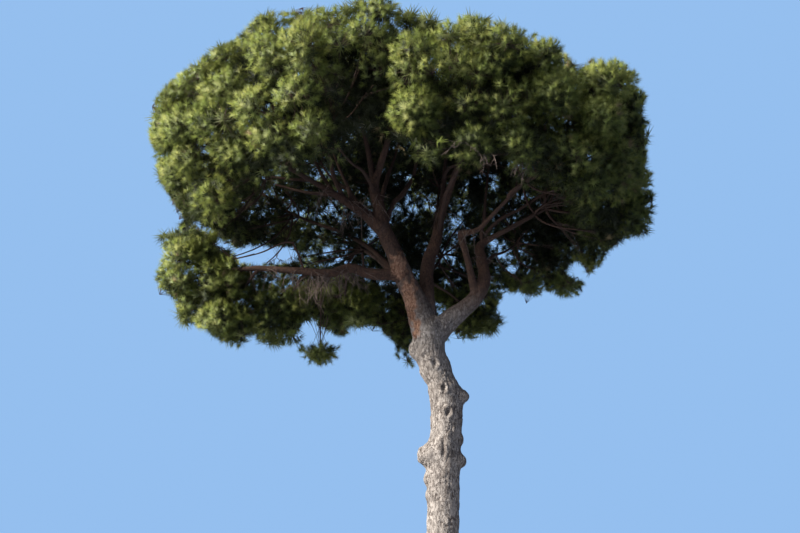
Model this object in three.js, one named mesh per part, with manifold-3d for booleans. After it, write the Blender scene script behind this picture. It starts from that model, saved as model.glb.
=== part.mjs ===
// A mature stone pine, whole: a bare, knobbed trunk with its root flare, the limbs that fan out of one
// fork, and an umbrella crown of dense needle masses that is hollow underneath.
// Millimetres, +Z up, +X to the right and +Y away as the tree is seen. The origin is at the middle of
// the flat cut at ground level.
import * as THREE from "three";
import { mergeVertices } from "three/addons/utils/BufferGeometryUtils.js";
import Module from "manifold-3d";

const wasm = await Module();
wasm.setup();

// Clearances
const seatGap = 0.4; // between a limb and what carries it, and between a bough's tip and its mass
const massGap = 45; // from a mass to the plane that parts it from its neighbour

// Trunk
const forkHeight = 8150;
const trunkSides = 17;
const plainRing = 470; // ring spacing on the smooth lower trunk
const knobbyFrom = 3300;
const knobbyRing = 151;
const trunkLine = [
  [0, 0], [2000, -25], [3300, 0], [4300, 30], [5000, 70], [6000, 120], [6450, 65],
  [6900, -120], [7350, -270], [7750, -270], [forkHeight, -220],
]; // height, sideways lean
const trunkRadius = [
  [0, 500], [250, 440], [700, 398], [1500, 372], [3300, 350], [5000, 350], [6500, 362],
  [7400, 372], [7800, 372], [8000, 335], [forkHeight, 215],
]; // height, radius
const rootLobes = { count: 5, out: 120, fade: 420, turn: 40 }; // buttresses round the foot
const knobs = [
  { height: 6300, azimuth: 0, out: 190, tall: 135, wide: 30 }, // sawn stub on the right
  { height: 4960, azimuth: 182, out: 250, tall: 230, wide: 38 }, // burl on the left
  { height: 4830, azimuth: 2, out: 125, tall: 120, wide: 32 },
  { height: 5300, azimuth: 5, out: 60, tall: 110, wide: 30 },
  { height: 4450, azimuth: 176, out: 100, tall: 150, wide: 30 },
  { height: 4080, azimuth: 188, out: 50, tall: 110, wide: 30 },
  { height: 7370, azimuth: 180, out: 95, tall: 160, wide: 36 },
  { height: 5150, azimuth: 262, out: 70, tall: 260, wide: 26 },
  { height: 3950, azimuth: 75, out: 120, tall: 170, wide: 34 },
  { height: 5700, azimuth: 100, out: 150, tall: 150, wide: 30 },
];

// Crown: round in plan, nearly flat on top, and tucked in again towards its lower edge
const crown = {
  x: -950, y: 0, radius: 6180, level: 11600, top: 14230, squareness: 3.6, under: 3200, tuck: 2.6,
}; // the level is where it is widest
const rim = { reach: 4050, wide: 2350 };
const rimMasses = {
  right: [2, 11400, 2200], right_rear: [38, 11200, 2300], rear_right: [73, 11250, 2200],
  rear_left: [108, 11350, 2200], left_rear: [146, 12150, 1450], left: [182, 12150, 1750],
  left_front: [214, 11550, 1850], front_left: [247, 11400, 1850], front_right: [292, 11400, 1850],
  right_front: [328, 11400, 1950],
}; // azimuth, height, half height
const shoulder = { reach: 2250, wide: 2050, height: 12550, high: 1650, turn: 12 };
const shoulderNames = ["right", "right_rear", "rear", "left_rear", "left_front", "front", "right_front"];
const crownTop = { name: "crown_top", at: [-900, 100, 12950], wide: 1500, high: 1300 };
const lowMasses = [
  { name: "low_left_outer", at: [-5560, -800, 9030], wide: 1060, high: 1180 },
  { name: "low_left_lower", at: [-4880, -820, 7980], wide: 860, high: 830 },
  { name: "low_left_inner", at: [-3860, -300, 8180], wide: 920, high: 860 },
  { name: "hanging_tuft", at: [-2780, 0, 7290], wide: 430, high: 300 },
  { name: "low_rear_left", at: [-2300, 1500, 8890], wide: 1200, high: 800 },
  { name: "low_rear_middle", at: [-810, 2600, 8650], wide: 780, high: 950 },
  { name: "low_rear_right", at: [1020, 3000, 9250], wide: 980, high: 850 },
];
const crownHead = 3400; // half height above its centre of a mass that the crown's outline tops
const softness = 9; // higher makes the edges between a mass's sides sharper
const coreShare = 0.88; // how far the solid core of a mass reaches towards its outline
const fineCore = 2; // rows that each edge of the core's twenty faces is cut into, less one
const coarseCore = 1;
const coarseBelow = 1300; // masses smaller than this get the coarse core
const billows = { count: 9, depth: 0.12, wide: 0.55 }; // the bulges of a mass

// Sprays of needles that stand out of the cores
const spray = { spacing: 1950, fewest: 9, sunk: 0.58, halfWidth: 0.3, notch: 0.66, thick: 0.03, lift: 0.3 };
const stemTwigs = 2;
const stemSides = 5;

// Limbs
const limbSides = 7;
const limbStep = 520; // one ring of faces about every so far
const fewestRings = 2;
const bow = 0.1; // how much a side limb bows upwards, of its length
const tipRadius = 42;

// Main limbs: carried by a parent, through points on the way, to a mass
const mainLimbs = [
  {
    name: "left_leader", to: "shoulder_front", radii: [262, 84],
    via: [[-290, 0, 7560], [-590, -50, 8550], [-850, -150, 9080], [-1080, -300, 9650],
      [-1360, -500, 10220], [-1430, -650, 10640], [-1540, -820, 11080]],
  },
  {
    name: "right_limb", to: "rim_right", radii: [240, 66],
    via: [[-190, 0, 7700], [200, 20, 8080], [500, 20, 8320], [800, 30, 8600], [1040, 80, 9080],
      [1010, 200, 9560], [980, 300, 10000], [1120, 350, 10340], [1930, 200, 10880]],
  },
  {
    name: "middle_limb", to: "shoulder_right_front", radii: [175, 76],
    via: [[-260, 60, 7900], [-300, 300, 9370], [-60, 400, 10210], [60, 380, 10850]],
  },
  {
    name: "rear_limb", to: "rim_rear_left", radii: [185, 70],
    via: [[-290, 120, 7800], [-520, 900, 8900], [-1150, 1600, 9800], [-1650, 2200, 10300]],
  },
  {
    name: "left_limb", to: "rim_left_front", radii: [150, 62],
    via: [[-1390, -540, 10180], [-1820, -700, 10500], [-2280, -1000, 10710],
      [-2730, -1400, 10700]],
  },
  {
    name: "low_left_limb", to: "low_left_outer", radii: [135, 50],
    via: [[-900, -190, 9140], [-1590, -400, 9080], [-2090, -600, 9160], [-2530, -800, 8980],
      [-3210, -900, 9000], [-4100, -960, 9040]],
  },
  {
    name: "crooked_limb_rise", radii: [92, 72],
    via: [[830, 40, 8680], [700, -180, 9210], [570, -400, 9660], [450, -590, 9930]],
  },
  {
    name: "crooked_limb_reach", to: "rim_right_front", radii: [76, 46],
    via: [[450, -560, 9995], [660, -800, 9960], [880, -1000, 9990], [1130, -1200, 10180],
      [1460, -1500, 10330], [1530, -1620, 10560]],
  },
  {
    name: "arched_twig_rise", radii: [44, 34],
    via: [[-3120, -900, 8990], [-3230, -980, 9330], [-3370, -1000, 9600]],
  },
  {
    name: "arched_twig_fall", radii: [36, 20],
    via: [[-3350, -1000, 9640], [-3610, -1010, 9640], [-4010, -1010, 9430], [-4290, -990, 9350]],
  },
  {
    name: "hanging_twig", to: "hanging_tuft", radii: [22, 14],
    via: [[-2700, -830, 8985], [-2740, -600, 8500], [-2770, -150, 8050], [-2780, -20, 7800]],
  },
];

// Side limbs: they leave their parent at a share of its length and bow over to their mass
const sideLimbs = [
  ["crown_top", "left_leader", 0.7, 62],
  ["rim_front_left", "left_leader", 0.8, 50],
  ["shoulder_left_front", "left_limb", 0.45, 66],
  ["shoulder_left_rear", "left_limb", 0.3, 54],
  ["rim_left", "left_limb", 0.55, 52],
  ["rim_front_right", "middle_limb", 0.55, 52],
  ["shoulder_right", "right_limb", 0.74, 56],
  ["rim_right_rear", "right_limb", 0.66, 54],
  ["rim_rear_right", "rear_limb", 0.3, 78],
  ["shoulder_rear", "rear_limb", 0.5, 66],
  ["shoulder_right_rear", "middle_limb", 0.5, 64],
  ["rim_left_rear", "rear_limb", 0.42, 70],
  ["low_left_inner", "low_left_limb", 0.62, 46],
  ["low_left_lower", "low_left_limb", 0.84, 40],
  ["low_rear_left", "low_left_limb", 0.36, 42],
  ["low_rear_middle", "rear_limb", 0.26, 40],
  ["low_rear_right", "rim_rear_right_limb", 0.3, 40],
]; // mass, parent, share along the parent, foot radius

const barkMaterial = new THREE.MeshStandardMaterial({ color: 0x9a8878, roughness: 0.95 });
const limbMaterial = new THREE.MeshStandardMaterial({ color: 0x6e5040, roughness: 0.9 });
const needleMaterial = new THREE.MeshStandardMaterial({ color: 0x4d6130, roughness: 0.8 });

// The same run of numbers from 0 to 1 for the same seed
function seeded(seed) {
  let state = seed >>> 0;
  return () => {
    state = (state + 0x6d2b79f5) >>> 0;
    let t = state;
    t = Math.imul(t ^ (t >>> 15), t | 1);
    t ^= t + Math.imul(t ^ (t >>> 7), t | 61);
    return ((t ^ (t >>> 14)) >>> 0) / 4294967296;
  };
}

const vector = (p) => new THREE.Vector3(...p);

// A value read off rows of [height, value]
function along(rows, height) {
  const next = rows.findIndex((row) => row[0] >= height);
  if (next <= 0) return rows[next === 0 ? 0 : rows.length - 1][1];
  const [[h0, v0], [h1, v1]] = [rows[next - 1], rows[next]];
  const s = (height - h0) / (h1 - h0);
  return v0 + (v1 - v0) * s * s * (3 - 2 * s);
}

// A closed geometry as a solid that can be joined and cut
function solidOf(geometry) {
  const bare = geometry.index ? geometry.toNonIndexed() : geometry.clone();
  for (const name of Object.keys(bare.attributes)) {
    if (name !== "position") bare.deleteAttribute(name);
  }
  const merged = mergeVertices(bare, 1e-3);
  return new wasm.Manifold(new wasm.Mesh({
    numProp: 3,
    vertProperties: merged.attributes.position.array,
    triVerts: new Uint32Array(merged.index.array),
  }));
}

function geometryOf(solid) {
  const mesh = solid.getMesh();
  return new THREE.BufferGeometry()
    .setAttribute("position", new THREE.BufferAttribute(mesh.vertProperties, 3))
    .setIndex(new THREE.BufferAttribute(mesh.triVerts, 1));
}

function largestOf(solid) {
  const bodies = solid.decompose();
  return bodies.reduce((best, body) => (body.volume() > best.volume() ? body : best));
}

// Bends an upright unit cylinder along a line: place(share, angle) gives each point of its wall
function bentCylinder(sides, rings, place, middle) {
  const geometry = new THREE.CylinderGeometry(1, 1, 1, sides, rings);
  const position = geometry.attributes.position;
  const point = new THREE.Vector3();
  for (let i = 0; i < position.count; i += 1) {
    point.fromBufferAttribute(position, i);
    const share = Math.round((point.y + 0.5) * rings) / rings;
    const onAxis = Math.hypot(point.x, point.z) < 0.5;
    const angle = Math.round(Math.atan2(-point.z, point.x) / (2 * Math.PI) * sides * 4) / (sides * 4);
    const moved = onAxis ? middle(share) : place(share, angle * 2 * Math.PI);
    position.setXYZ(i, moved.x, moved.y, moved.z);
  }
  return geometry;
}

function knobOut(height, azimuth) {
  let out = 0;
  for (const knob of knobs) {
    let turn = Math.abs(azimuth - THREE.MathUtils.degToRad(knob.azimuth)) % (2 * Math.PI);
    turn = Math.min(turn, 2 * Math.PI - turn) / THREE.MathUtils.degToRad(knob.wide);
    const up = (height - knob.height) / knob.tall;
    out += knob.out * Math.exp(-up * up - turn * turn);
  }
  const turned = azimuth - THREE.MathUtils.degToRad(rootLobes.turn);
  const lobe = 0.5 + 0.5 * Math.cos(rootLobes.count * turned);
  return out + rootLobes.out * lobe * lobe * Math.exp(-height / rootLobes.fade);
}

function trunkSolid(extra) {
  const heights = [];
  for (let h = 0; h < knobbyFrom; h += plainRing) heights.push(h);
  for (let h = knobbyFrom; h < forkHeight - knobbyRing / 2; h += knobbyRing) heights.push(h);
  heights.push(forkHeight);
  const rings = heights.length - 1;
  const middle = (share) => {
    const height = heights[Math.round(share * rings)];
    const rise = share === 1 ? extra : 0;
    return new THREE.Vector3(along(trunkLine, height), 0, height + rise);
  };
  const place = (share, angle) => {
    const centre = middle(share);
    const height = heights[Math.round(share * rings)];
    const radius = along(trunkRadius, height) + knobOut(height, angle) + extra;
    return centre.add(new THREE.Vector3(Math.cos(angle) * radius, Math.sin(angle) * radius, 0));
  };
  return solidOf(bentCylinder(trunkSides, rings, place, middle));
}

// A tapering round limb along a smooth line; extra makes it stouter all round for cutting
function limbSolid(limb, extra, sides = limbSides) {
  const length = limb.curve.getLength();
  const rings = Math.max(fewestRings, Math.round(length / limbStep));
  const frames = [];
  let side = new THREE.Vector3(0, 1, 0);
  for (let k = 0; k <= rings; k += 1) {
    const tangent = limb.curve.getTangent(k / rings);
    side = side.clone().addScaledVector(tangent, -side.dot(tangent)).normalize();
    frames.push({ tangent, side, across: new THREE.Vector3().crossVectors(side, tangent) });
  }
  const middle = (share) => {
    const reach = share === 1 ? extra : 0;
    return limb.curve.getPoint(share).addScaledVector(frames[Math.round(share * rings)].tangent, reach);
  };
  const place = (share, angle) => {
    const frame = frames[Math.round(share * rings)];
    const radius = limb.radiusAt(share) + extra;
    return middle(share)
      .addScaledVector(frame.across, Math.cos(angle) * radius)
      .addScaledVector(frame.side, Math.sin(angle) * radius);
  };
  return solidOf(bentCylinder(sides, rings, place, middle));
}

// Masses of foliage, each with the space that it keeps to
const masses = [];

function addMass(name, at, wide, high) {
  const mass = { name, centre: vector(at), wide, high, seed: masses.length + 1 };
  const random = seeded(mass.seed * 977);
  mass.bulges = Array.from({ length: billows.count }, () => {
    const z = random() * 2 - 1;
    const turn = random() * 2 * Math.PI;
    const flat = Math.sqrt(1 - z * z);
    return new THREE.Vector3(flat * Math.cos(turn), flat * Math.sin(turn), z);
  });
  masses.push(mass);
}

function aroundCrown(azimuth, reach, height) {
  const turn = THREE.MathUtils.degToRad(azimuth);
  return [crown.x + Math.cos(turn) * reach, crown.y + Math.sin(turn) * reach, height];
}

for (const [name, [azimuth, height, high]] of Object.entries(rimMasses)) {
  addMass("rim_" + name, aroundCrown(azimuth, rim.reach, height), rim.wide, high);
}
shoulderNames.forEach((name, i) => {
  const azimuth = shoulder.turn + (i * 360) / shoulderNames.length;
  const at = aroundCrown(azimuth, shoulder.reach, shoulder.height);
  addMass("shoulder_" + name, at, shoulder.wide, shoulder.high);
});
addMass(crownTop.name, crownTop.at, crownTop.wide, crownTop.high);
for (const mass of masses) mass.underCrown = true;
for (const mass of lowMasses) addMass(mass.name, mass.at, mass.wide, mass.high);

// Planes half-way to each neighbour, weighted by size, that wall a mass in
for (const mass of masses) {
  mass.walls = [];
  for (const other of masses) {
    const apart = other.centre.clone().sub(mass.centre);
    const distance = apart.length();
    if (other === mass || distance > mass.wide + other.wide + mass.high) continue;
    const share = (distance ** 2 + mass.wide ** 2 - other.wide ** 2) / (2 * distance ** 2);
    mass.walls.push({ normal: apart.normalize(), reach: distance * share - massGap });
  }
}

function insideCrown(point) {
  const out = ((point.x - crown.x) ** 2 + (point.y - crown.y) ** 2) / crown.radius ** 2;
  const above = point.z > crown.level;
  const rise = Math.abs(point.z - crown.level) / (above ? crown.top - crown.level : crown.under);
  return out + rise ** (above ? crown.squareness : crown.tuck) < 1;
}

// How far the outline of the crown lies from a point inside it, by halving
function crownReach(from, way) {
  let [near, far] = [0, 2 * crown.radius];
  while (far - near > 1) {
    const middle = (near + far) / 2;
    if (insideCrown(from.clone().addScaledVector(way, middle))) near = middle;
    else far = middle;
  }
  return near;
}

// How far a share of a mass may reach in a direction from its centre: short of its own round shape,
// of the crown's outline and of its walls, with soft edges between them
function reachOf(mass, way, share = 1) {
  const flat = Math.hypot(way.x, way.y) / mass.wide;
  const limits = [1 / Math.hypot(flat, way.z / (mass.underCrown && way.z > 0 ? crownHead : mass.high))];
  if (mass.underCrown) limits.push(crownReach(mass.centre, way));
  const bulge = Math.max(...mass.bulges.map((b) => Math.exp((b.dot(way) - 1) / billows.wide ** 2)));
  const swell = share * (1 - billows.depth + billows.depth * bulge);
  limits.forEach((limit, i) => { limits[i] = limit * swell; });
  for (const wall of mass.walls) {
    const slope = way.dot(wall.normal);
    if (slope > 1e-6) limits.push(wall.reach / slope);
  }
  return limits.reduce((sum, limit) => sum + limit ** -softness, 0) ** (-1 / softness);
}

const massNamed = (name) => masses.find((mass) => mass.name === name);

// Where a bough coming from a point meets a mass
function rootOf(mass, from) {
  const way = from.clone().sub(mass.centre).normalize();
  return mass.centre.clone().addScaledVector(way, reachOf(mass, way));
}

function isInside(mass, point) {
  return rootOf(mass, point).distanceTo(mass.centre) > point.distanceTo(mass.centre) - limbStep / 2;
}

// Limbs, in the order in which they are carried
const limbs = [];

function addLimb(name, points, foot, tip) {
  const curve = new THREE.CatmullRomCurve3(points, false, "catmullrom", 0.5);
  const radiusAt = (share) => tip + (foot - tip) * (1 - share) ** 0.8;
  const limb = { name, curve, radiusAt, tip };
  limbs.push(limb);
  return limb;
}

for (const { name, to, radii: [foot, tip], via } of mainLimbs) {
  const points = via.map(vector);
  const mass = to && massNamed(to);
  while (mass && isInside(mass, points[points.length - 1])) points.pop();
  if (mass) points.push(rootOf(mass, points[points.length - 1]));
  const limb = addLimb(name, points, foot, tip);
  if (mass) mass.bough = limb;
}
for (const [to, parent, share, foot] of sideLimbs) {
  const mass = massNamed(to);
  const start = limbs.find((limb) => limb.name === parent).curve.getPoint(share);
  const end = rootOf(mass, start);
  const rise = start.distanceTo(end) * bow;
  const points = [0, 1, 2, 3].map((k) => {
    const point = start.clone().lerp(end, k / 3);
    point.z += rise * Math.sin((k / 3) * Math.PI);
    return point;
  });
  mass.bough = addLimb(to + "_limb", points, foot, Math.min(tipRadius, foot * 0.62));
}

// A toothed blade of needles, root at the origin, along +Y
function sprayGeometry(length) {
  const half = spray.halfWidth * length;
  const outline = new THREE.Shape();
  outline.moveTo(0, 0);
  outline.lineTo(half, 0.86 * length);
  outline.lineTo(0.4 * half, spray.notch * length);
  outline.lineTo(0, length);
  outline.lineTo(-0.4 * half, spray.notch * length);
  outline.lineTo(-half, 0.8 * length);
  const depth = spray.thick * length;
  const blade = new THREE.ExtrudeGeometry(outline, { depth, bevelEnabled: false });
  return blade.translate(0, 0, -depth / 2);
}

function starGeometry(mass, share) {
  const geometry = new THREE.IcosahedronGeometry(1, mass.wide < coarseBelow ? coarseCore : fineCore);
  const position = geometry.attributes.position;
  const way = new THREE.Vector3();
  for (let i = 0; i < position.count; i += 1) {
    way.fromBufferAttribute(position, i).normalize();
    const reach = reachOf(mass, way, share);
    way.multiplyScalar(reach).add(mass.centre);
    position.setXYZ(i, way.x, way.y, way.z);
  }
  return geometry;
}

// A three-sided twig between two points
function twigGeometry(from, to, thick, thin) {
  const length = from.distanceTo(to);
  const geometry = new THREE.CylinderGeometry(thin, thick, length, 3, 1).translate(0, length / 2, 0);
  const turn = new THREE.Quaternion().setFromUnitVectors(
    new THREE.Vector3(0, 1, 0), to.clone().sub(from).normalize(),
  );
  return geometry.applyQuaternion(turn).translate(from.x, from.y, from.z);
}

function insideWalls(mass, geometry) {
  const position = geometry.attributes.position;
  const point = new THREE.Vector3();
  for (let i = 0; i < position.count; i += 1) {
    point.fromBufferAttribute(position, i).sub(mass.centre);
    if (mass.walls.some((wall) => point.dot(wall.normal) > wall.reach)) return false;
  }
  return true;
}

// Sprays spread evenly over a mass, leaving out its foot and where it faces a neighbour
function sprayGeometries(mass, rootWay) {
  const random = seeded(mass.seed * 7919);
  const area = 4 * Math.PI * mass.wide * Math.sqrt(mass.wide * mass.high);
  const count = Math.max(spray.fewest, Math.round(area / spray.spacing ** 2));
  const golden = Math.PI * (3 - Math.sqrt(5));
  const made = [];
  for (let k = 0; k < count; k += 1) {
    const z = 1 - (2 * (k + 0.5)) / count;
    const turn = k * golden + random() * 0.5;
    const flat = Math.sqrt(1 - z * z);
    const way = new THREE.Vector3(flat * Math.cos(turn), flat * Math.sin(turn), z);
    const spin = random() * Math.PI;
    if (way.dot(rootWay) > 0.72) continue;
    const reach = reachOf(mass, way);
    const tip = way.clone().multiplyScalar(reach);
    const root = way.clone().multiplyScalar(reach * spray.sunk);
    const length = tip.distanceTo(root);
    const up = tip.clone().sub(root).normalize();
    up.z += spray.lift * (1 - Math.abs(up.z));
    const turned = new THREE.Quaternion().setFromUnitVectors(new THREE.Vector3(0, 1, 0), up.normalize());
    const geometry = sprayGeometry(length)
      .rotateY(spin)
      .applyQuaternion(turned)
      .translate(mass.centre.x + root.x, mass.centre.y + root.y, mass.centre.z + root.z);
    if (insideWalls(mass, geometry)) made.push(geometry);
  }
  return made;
}

const trunk = trunkSolid(0);
const cutters = [trunkSolid(seatGap)];
const parts = [["trunk", trunk, barkMaterial]];

for (const limb of limbs) {
  let solid = limbSolid(limb, 0);
  for (const cutter of cutters) solid = solid.subtract(cutter);
  parts.push([limb.name, largestOf(solid), limbMaterial]);
  cutters.push(limbSolid(limb, seatGap));
}

for (const mass of masses) {
  const tip = mass.bough.curve.getPoint(1);
  const rootWay = tip.clone().sub(mass.centre).normalize();
  const clear = (solid) => cutters.every((cutter) => solid.intersect(cutter).isEmpty());
  const foot = tip.clone().addScaledVector(rootWay, mass.bough.tip / 2);
  const stemLine = new THREE.LineCurve3(foot, mass.centre);
  const stem = { curve: stemLine, radiusAt: (share) => mass.bough.tip * (1 - 0.4 * share) };
  let solid = solidOf(starGeometry(mass, coreShare)).add(limbSolid(stem, 0, stemSides));
  const fan = seeded(mass.seed * 31);
  for (let k = 0; k < stemTwigs; k += 1) {
    const from = stemLine.getPoint(0.1 + 0.06 * k);
    const to = mass.centre.clone().add(new THREE.Vector3(
      (fan() - 0.5) * mass.wide, (fan() - 0.5) * mass.wide, (fan() - 0.3) * mass.high * 0.8,
    ));
    const twig = twigGeometry(from, to, mass.bough.tip * 0.55, mass.bough.tip * 0.4);
    if (insideWalls(mass, twig) && clear(solidOf(twig))) solid = solid.add(solidOf(twig));
  }
  for (const geometry of sprayGeometries(mass, rootWay)) {
    const blade = solidOf(geometry);
    if (clear(blade)) solid = solid.add(blade);
  }
  for (const cutter of cutters) solid = solid.subtract(cutter);
  parts.push([mass.name, largestOf(solid), needleMaterial]);
}

const tree = new THREE.Group();
for (const [name, solid, material] of parts) {
  const mesh = new THREE.Mesh(geometryOf(solid), material);
  mesh.name = name;
  tree.add(mesh);
}

export default tree;
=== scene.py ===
# Looks of a mature stone pine: barked trunk and limbs, boughs and twigs that grow on into the crown,
# and needles in tufts. Metres, +Z up, origin at the middle of the flat cut at ground level.
import math

import bmesh
import bpy
import numpy as np
from mathutils import Matrix, Vector, kdtree, noise


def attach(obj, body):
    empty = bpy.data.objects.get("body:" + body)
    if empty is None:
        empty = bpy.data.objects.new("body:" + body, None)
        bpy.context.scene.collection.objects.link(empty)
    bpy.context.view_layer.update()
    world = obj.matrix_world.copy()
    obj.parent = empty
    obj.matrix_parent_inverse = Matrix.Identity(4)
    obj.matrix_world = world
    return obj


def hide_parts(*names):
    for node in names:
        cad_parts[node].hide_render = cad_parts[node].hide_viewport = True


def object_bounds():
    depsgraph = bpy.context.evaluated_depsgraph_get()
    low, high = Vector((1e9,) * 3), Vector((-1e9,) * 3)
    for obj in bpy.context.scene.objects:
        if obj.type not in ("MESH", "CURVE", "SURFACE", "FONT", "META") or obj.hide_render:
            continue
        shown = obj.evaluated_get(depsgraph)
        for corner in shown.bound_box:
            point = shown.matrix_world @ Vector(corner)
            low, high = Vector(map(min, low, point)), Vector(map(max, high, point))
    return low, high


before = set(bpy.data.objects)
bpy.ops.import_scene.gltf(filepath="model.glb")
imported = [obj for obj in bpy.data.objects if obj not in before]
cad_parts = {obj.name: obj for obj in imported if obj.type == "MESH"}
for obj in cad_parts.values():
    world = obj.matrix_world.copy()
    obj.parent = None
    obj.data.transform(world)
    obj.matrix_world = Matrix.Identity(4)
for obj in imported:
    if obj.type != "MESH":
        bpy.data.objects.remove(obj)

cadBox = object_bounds()
boxLow, boxHigh = np.array(cadBox[0]), np.array(cadBox[1])
goldenAngle = math.pi * (3 - math.sqrt(5))
wordMask = 0xFFFFFFFF


def seeded(seed):
    # the same run of numbers from 0 to 1 as the source gives for a seed
    state = seed & wordMask

    def following():
        nonlocal state
        state = (state + 0x6D2B79F5) & wordMask
        t = state
        t = ((t ^ (t >> 15)) * (t | 1)) & wordMask
        t ^= (t + (((t ^ (t >> 7)) * (t | 61)) & wordMask)) & wordMask
        return ((t ^ (t >> 14)) & wordMask) / 4294967296

    return following


def unit(v):
    v = np.asarray(v, float)
    return v / np.maximum(np.linalg.norm(v, axis=-1, keepdims=True), 1e-9)


def smoothStep(low, high, value):
    s = np.clip((np.asarray(value, float) - low) / (high - low), 0, 1)
    return s * s * (3 - 2 * s)


def noiseAt(points, scale):
    return np.array([noise.noise(Vector(p) * scale) for p in points])


def treeOf(points):
    tree = kdtree.KDTree(len(points))
    for i, p in enumerate(points):
        tree.insert(p, i)
    tree.balance()
    return tree


def curveAt(points, shares):
    # the source's smooth line through its points
    pts = np.asarray(points, float)
    padded = np.vstack([2 * pts[0] - pts[1], pts, 2 * pts[-1] - pts[-2]])
    at = np.clip(np.atleast_1d(np.asarray(shares, float)), 0, 1) * (len(pts) - 1)
    k = np.minimum(at.astype(int), len(pts) - 2)
    t = (at - k)[:, None]
    before, start, end, after = padded[k], padded[k + 1], padded[k + 2], padded[k + 3]
    leave, arrive = 0.5 * (end - before), 0.5 * (after - start)
    return ((2 * t ** 3 - 3 * t ** 2 + 1) * start + (t ** 3 - 2 * t ** 2 + t) * leave
            + (3 * t ** 2 - 2 * t ** 3) * end + (t ** 3 - t ** 2) * arrive)


# Crown: the shared outline and the space that each mass keeps to, as in the source
crown = {"x": -0.95, "y": 0.0, "radius": 6.18, "level": 11.6, "top": 14.23, "squareness": 3.6,
         "under": 3.2, "tuck": 2.6, "head": 3.4, "softness": 9, "gap": 0.045,
         "bulges": 9, "bulgeDepth": 0.12, "bulgeWide": 0.55, "seedStep": 977, "halvings": 14,
         "wallShare": 1.2}
rim = {"reach": 4.05, "wide": 2.35}
rimMasses = {
    "right": (2, 11.4, 2.2), "right_rear": (38, 11.2, 2.3), "rear_right": (73, 11.25, 2.2),
    "rear_left": (108, 11.35, 2.2), "left_rear": (146, 12.15, 1.45), "left": (182, 12.15, 1.75),
    "left_front": (214, 11.55, 1.85), "front_left": (247, 11.4, 1.85),
    "front_right": (292, 11.4, 1.85), "right_front": (328, 11.4, 1.95)}
shoulder = {"reach": 2.25, "wide": 2.05, "height": 12.55, "high": 1.65, "turn": 12}
shoulderNames = ["right", "right_rear", "rear", "left_rear", "left_front", "front", "right_front"]
lowMasses = {
    "low_left_outer": ((-5.56, -0.8, 9.03), 1.06, 1.18),
    "low_left_lower": ((-4.88, -0.82, 7.98), 0.86, 0.83),
    "low_left_inner": ((-3.86, -0.3, 8.18), 0.92, 0.86),
    "hanging_tuft": ((-2.78, 0.0, 7.29), 0.43, 0.3),
    "low_rear_left": ((-2.3, 1.5, 8.89), 1.2, 0.8),
    "low_rear_middle": ((-0.81, 2.6, 8.65), 0.78, 0.95),
    "low_rear_right": ((1.02, 3.0, 9.25), 0.98, 0.85)}
masses = {}


def addMass(name, at, wide, high, underCrown):
    number = len(masses) + 1
    random = seeded(number * crown["seedStep"])
    bulges = []
    for _ in range(crown["bulges"]):
        z = random() * 2 - 1
        turn = random() * 2 * math.pi
        flat = math.sqrt(1 - z * z)
        bulges.append((flat * math.cos(turn), flat * math.sin(turn), z))
    masses[name] = {"name": name, "centre": np.array(at, float), "wide": wide, "high": high,
                    "underCrown": underCrown, "bulges": np.array(bulges)}


def aroundCrown(azimuth, reach, height):
    turn = math.radians(azimuth)
    return crown["x"] + math.cos(turn) * reach, crown["y"] + math.sin(turn) * reach, height


for name, (azimuth, height, high) in rimMasses.items():
    addMass("rim_" + name, aroundCrown(azimuth, rim["reach"], height), rim["wide"], high, True)
for i, name in enumerate(shoulderNames):
    azimuth = shoulder["turn"] + i * 360 / len(shoulderNames)
    at = aroundCrown(azimuth, shoulder["reach"], shoulder["height"])
    addMass("shoulder_" + name, at, shoulder["wide"], shoulder["high"], True)
addMass("crown_top", (-0.9, 0.1, 12.95), 1.5, 1.3, True)
for name, (at, wide, high) in lowMasses.items():
    addMass(name, at, wide, high, False)
for mass in masses.values():
    mass["walls"] = []
    for other in masses.values():
        apart = other["centre"] - mass["centre"]
        distance = float(np.linalg.norm(apart))
        if other is mass or distance > mass["wide"] + other["wide"] + mass["high"]:
            continue
        share = (distance ** 2 + mass["wide"] ** 2 - other["wide"] ** 2) / (2 * distance ** 2)
        mass["walls"].append((apart / distance, distance * share - crown["gap"]))


def crownDepth(points):
    # 0 in the middle of the crown's outline, 1 on it
    out = ((points[:, 0] - crown["x"]) ** 2 + (points[:, 1] - crown["y"]) ** 2) / crown["radius"] ** 2
    rise = points[:, 2] - crown["level"]
    above = np.abs(rise / (crown["top"] - crown["level"])) ** crown["squareness"]
    below = np.abs(rise / crown["under"]) ** crown["tuck"]
    return out + np.where(rise > 0, above, below)


def crownReach(start, ways):
    # how far it is from a place inside the crown's outline to the outline
    near, far = np.zeros(len(ways)), np.full(len(ways), 2 * crown["radius"])
    for _ in range(crown["halvings"]):
        middle = (near + far) / 2
        inside = crownDepth(start + ways * middle[:, None]) < 1
        near, far = np.where(inside, middle, near), np.where(inside, far, middle)
    return near


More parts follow.
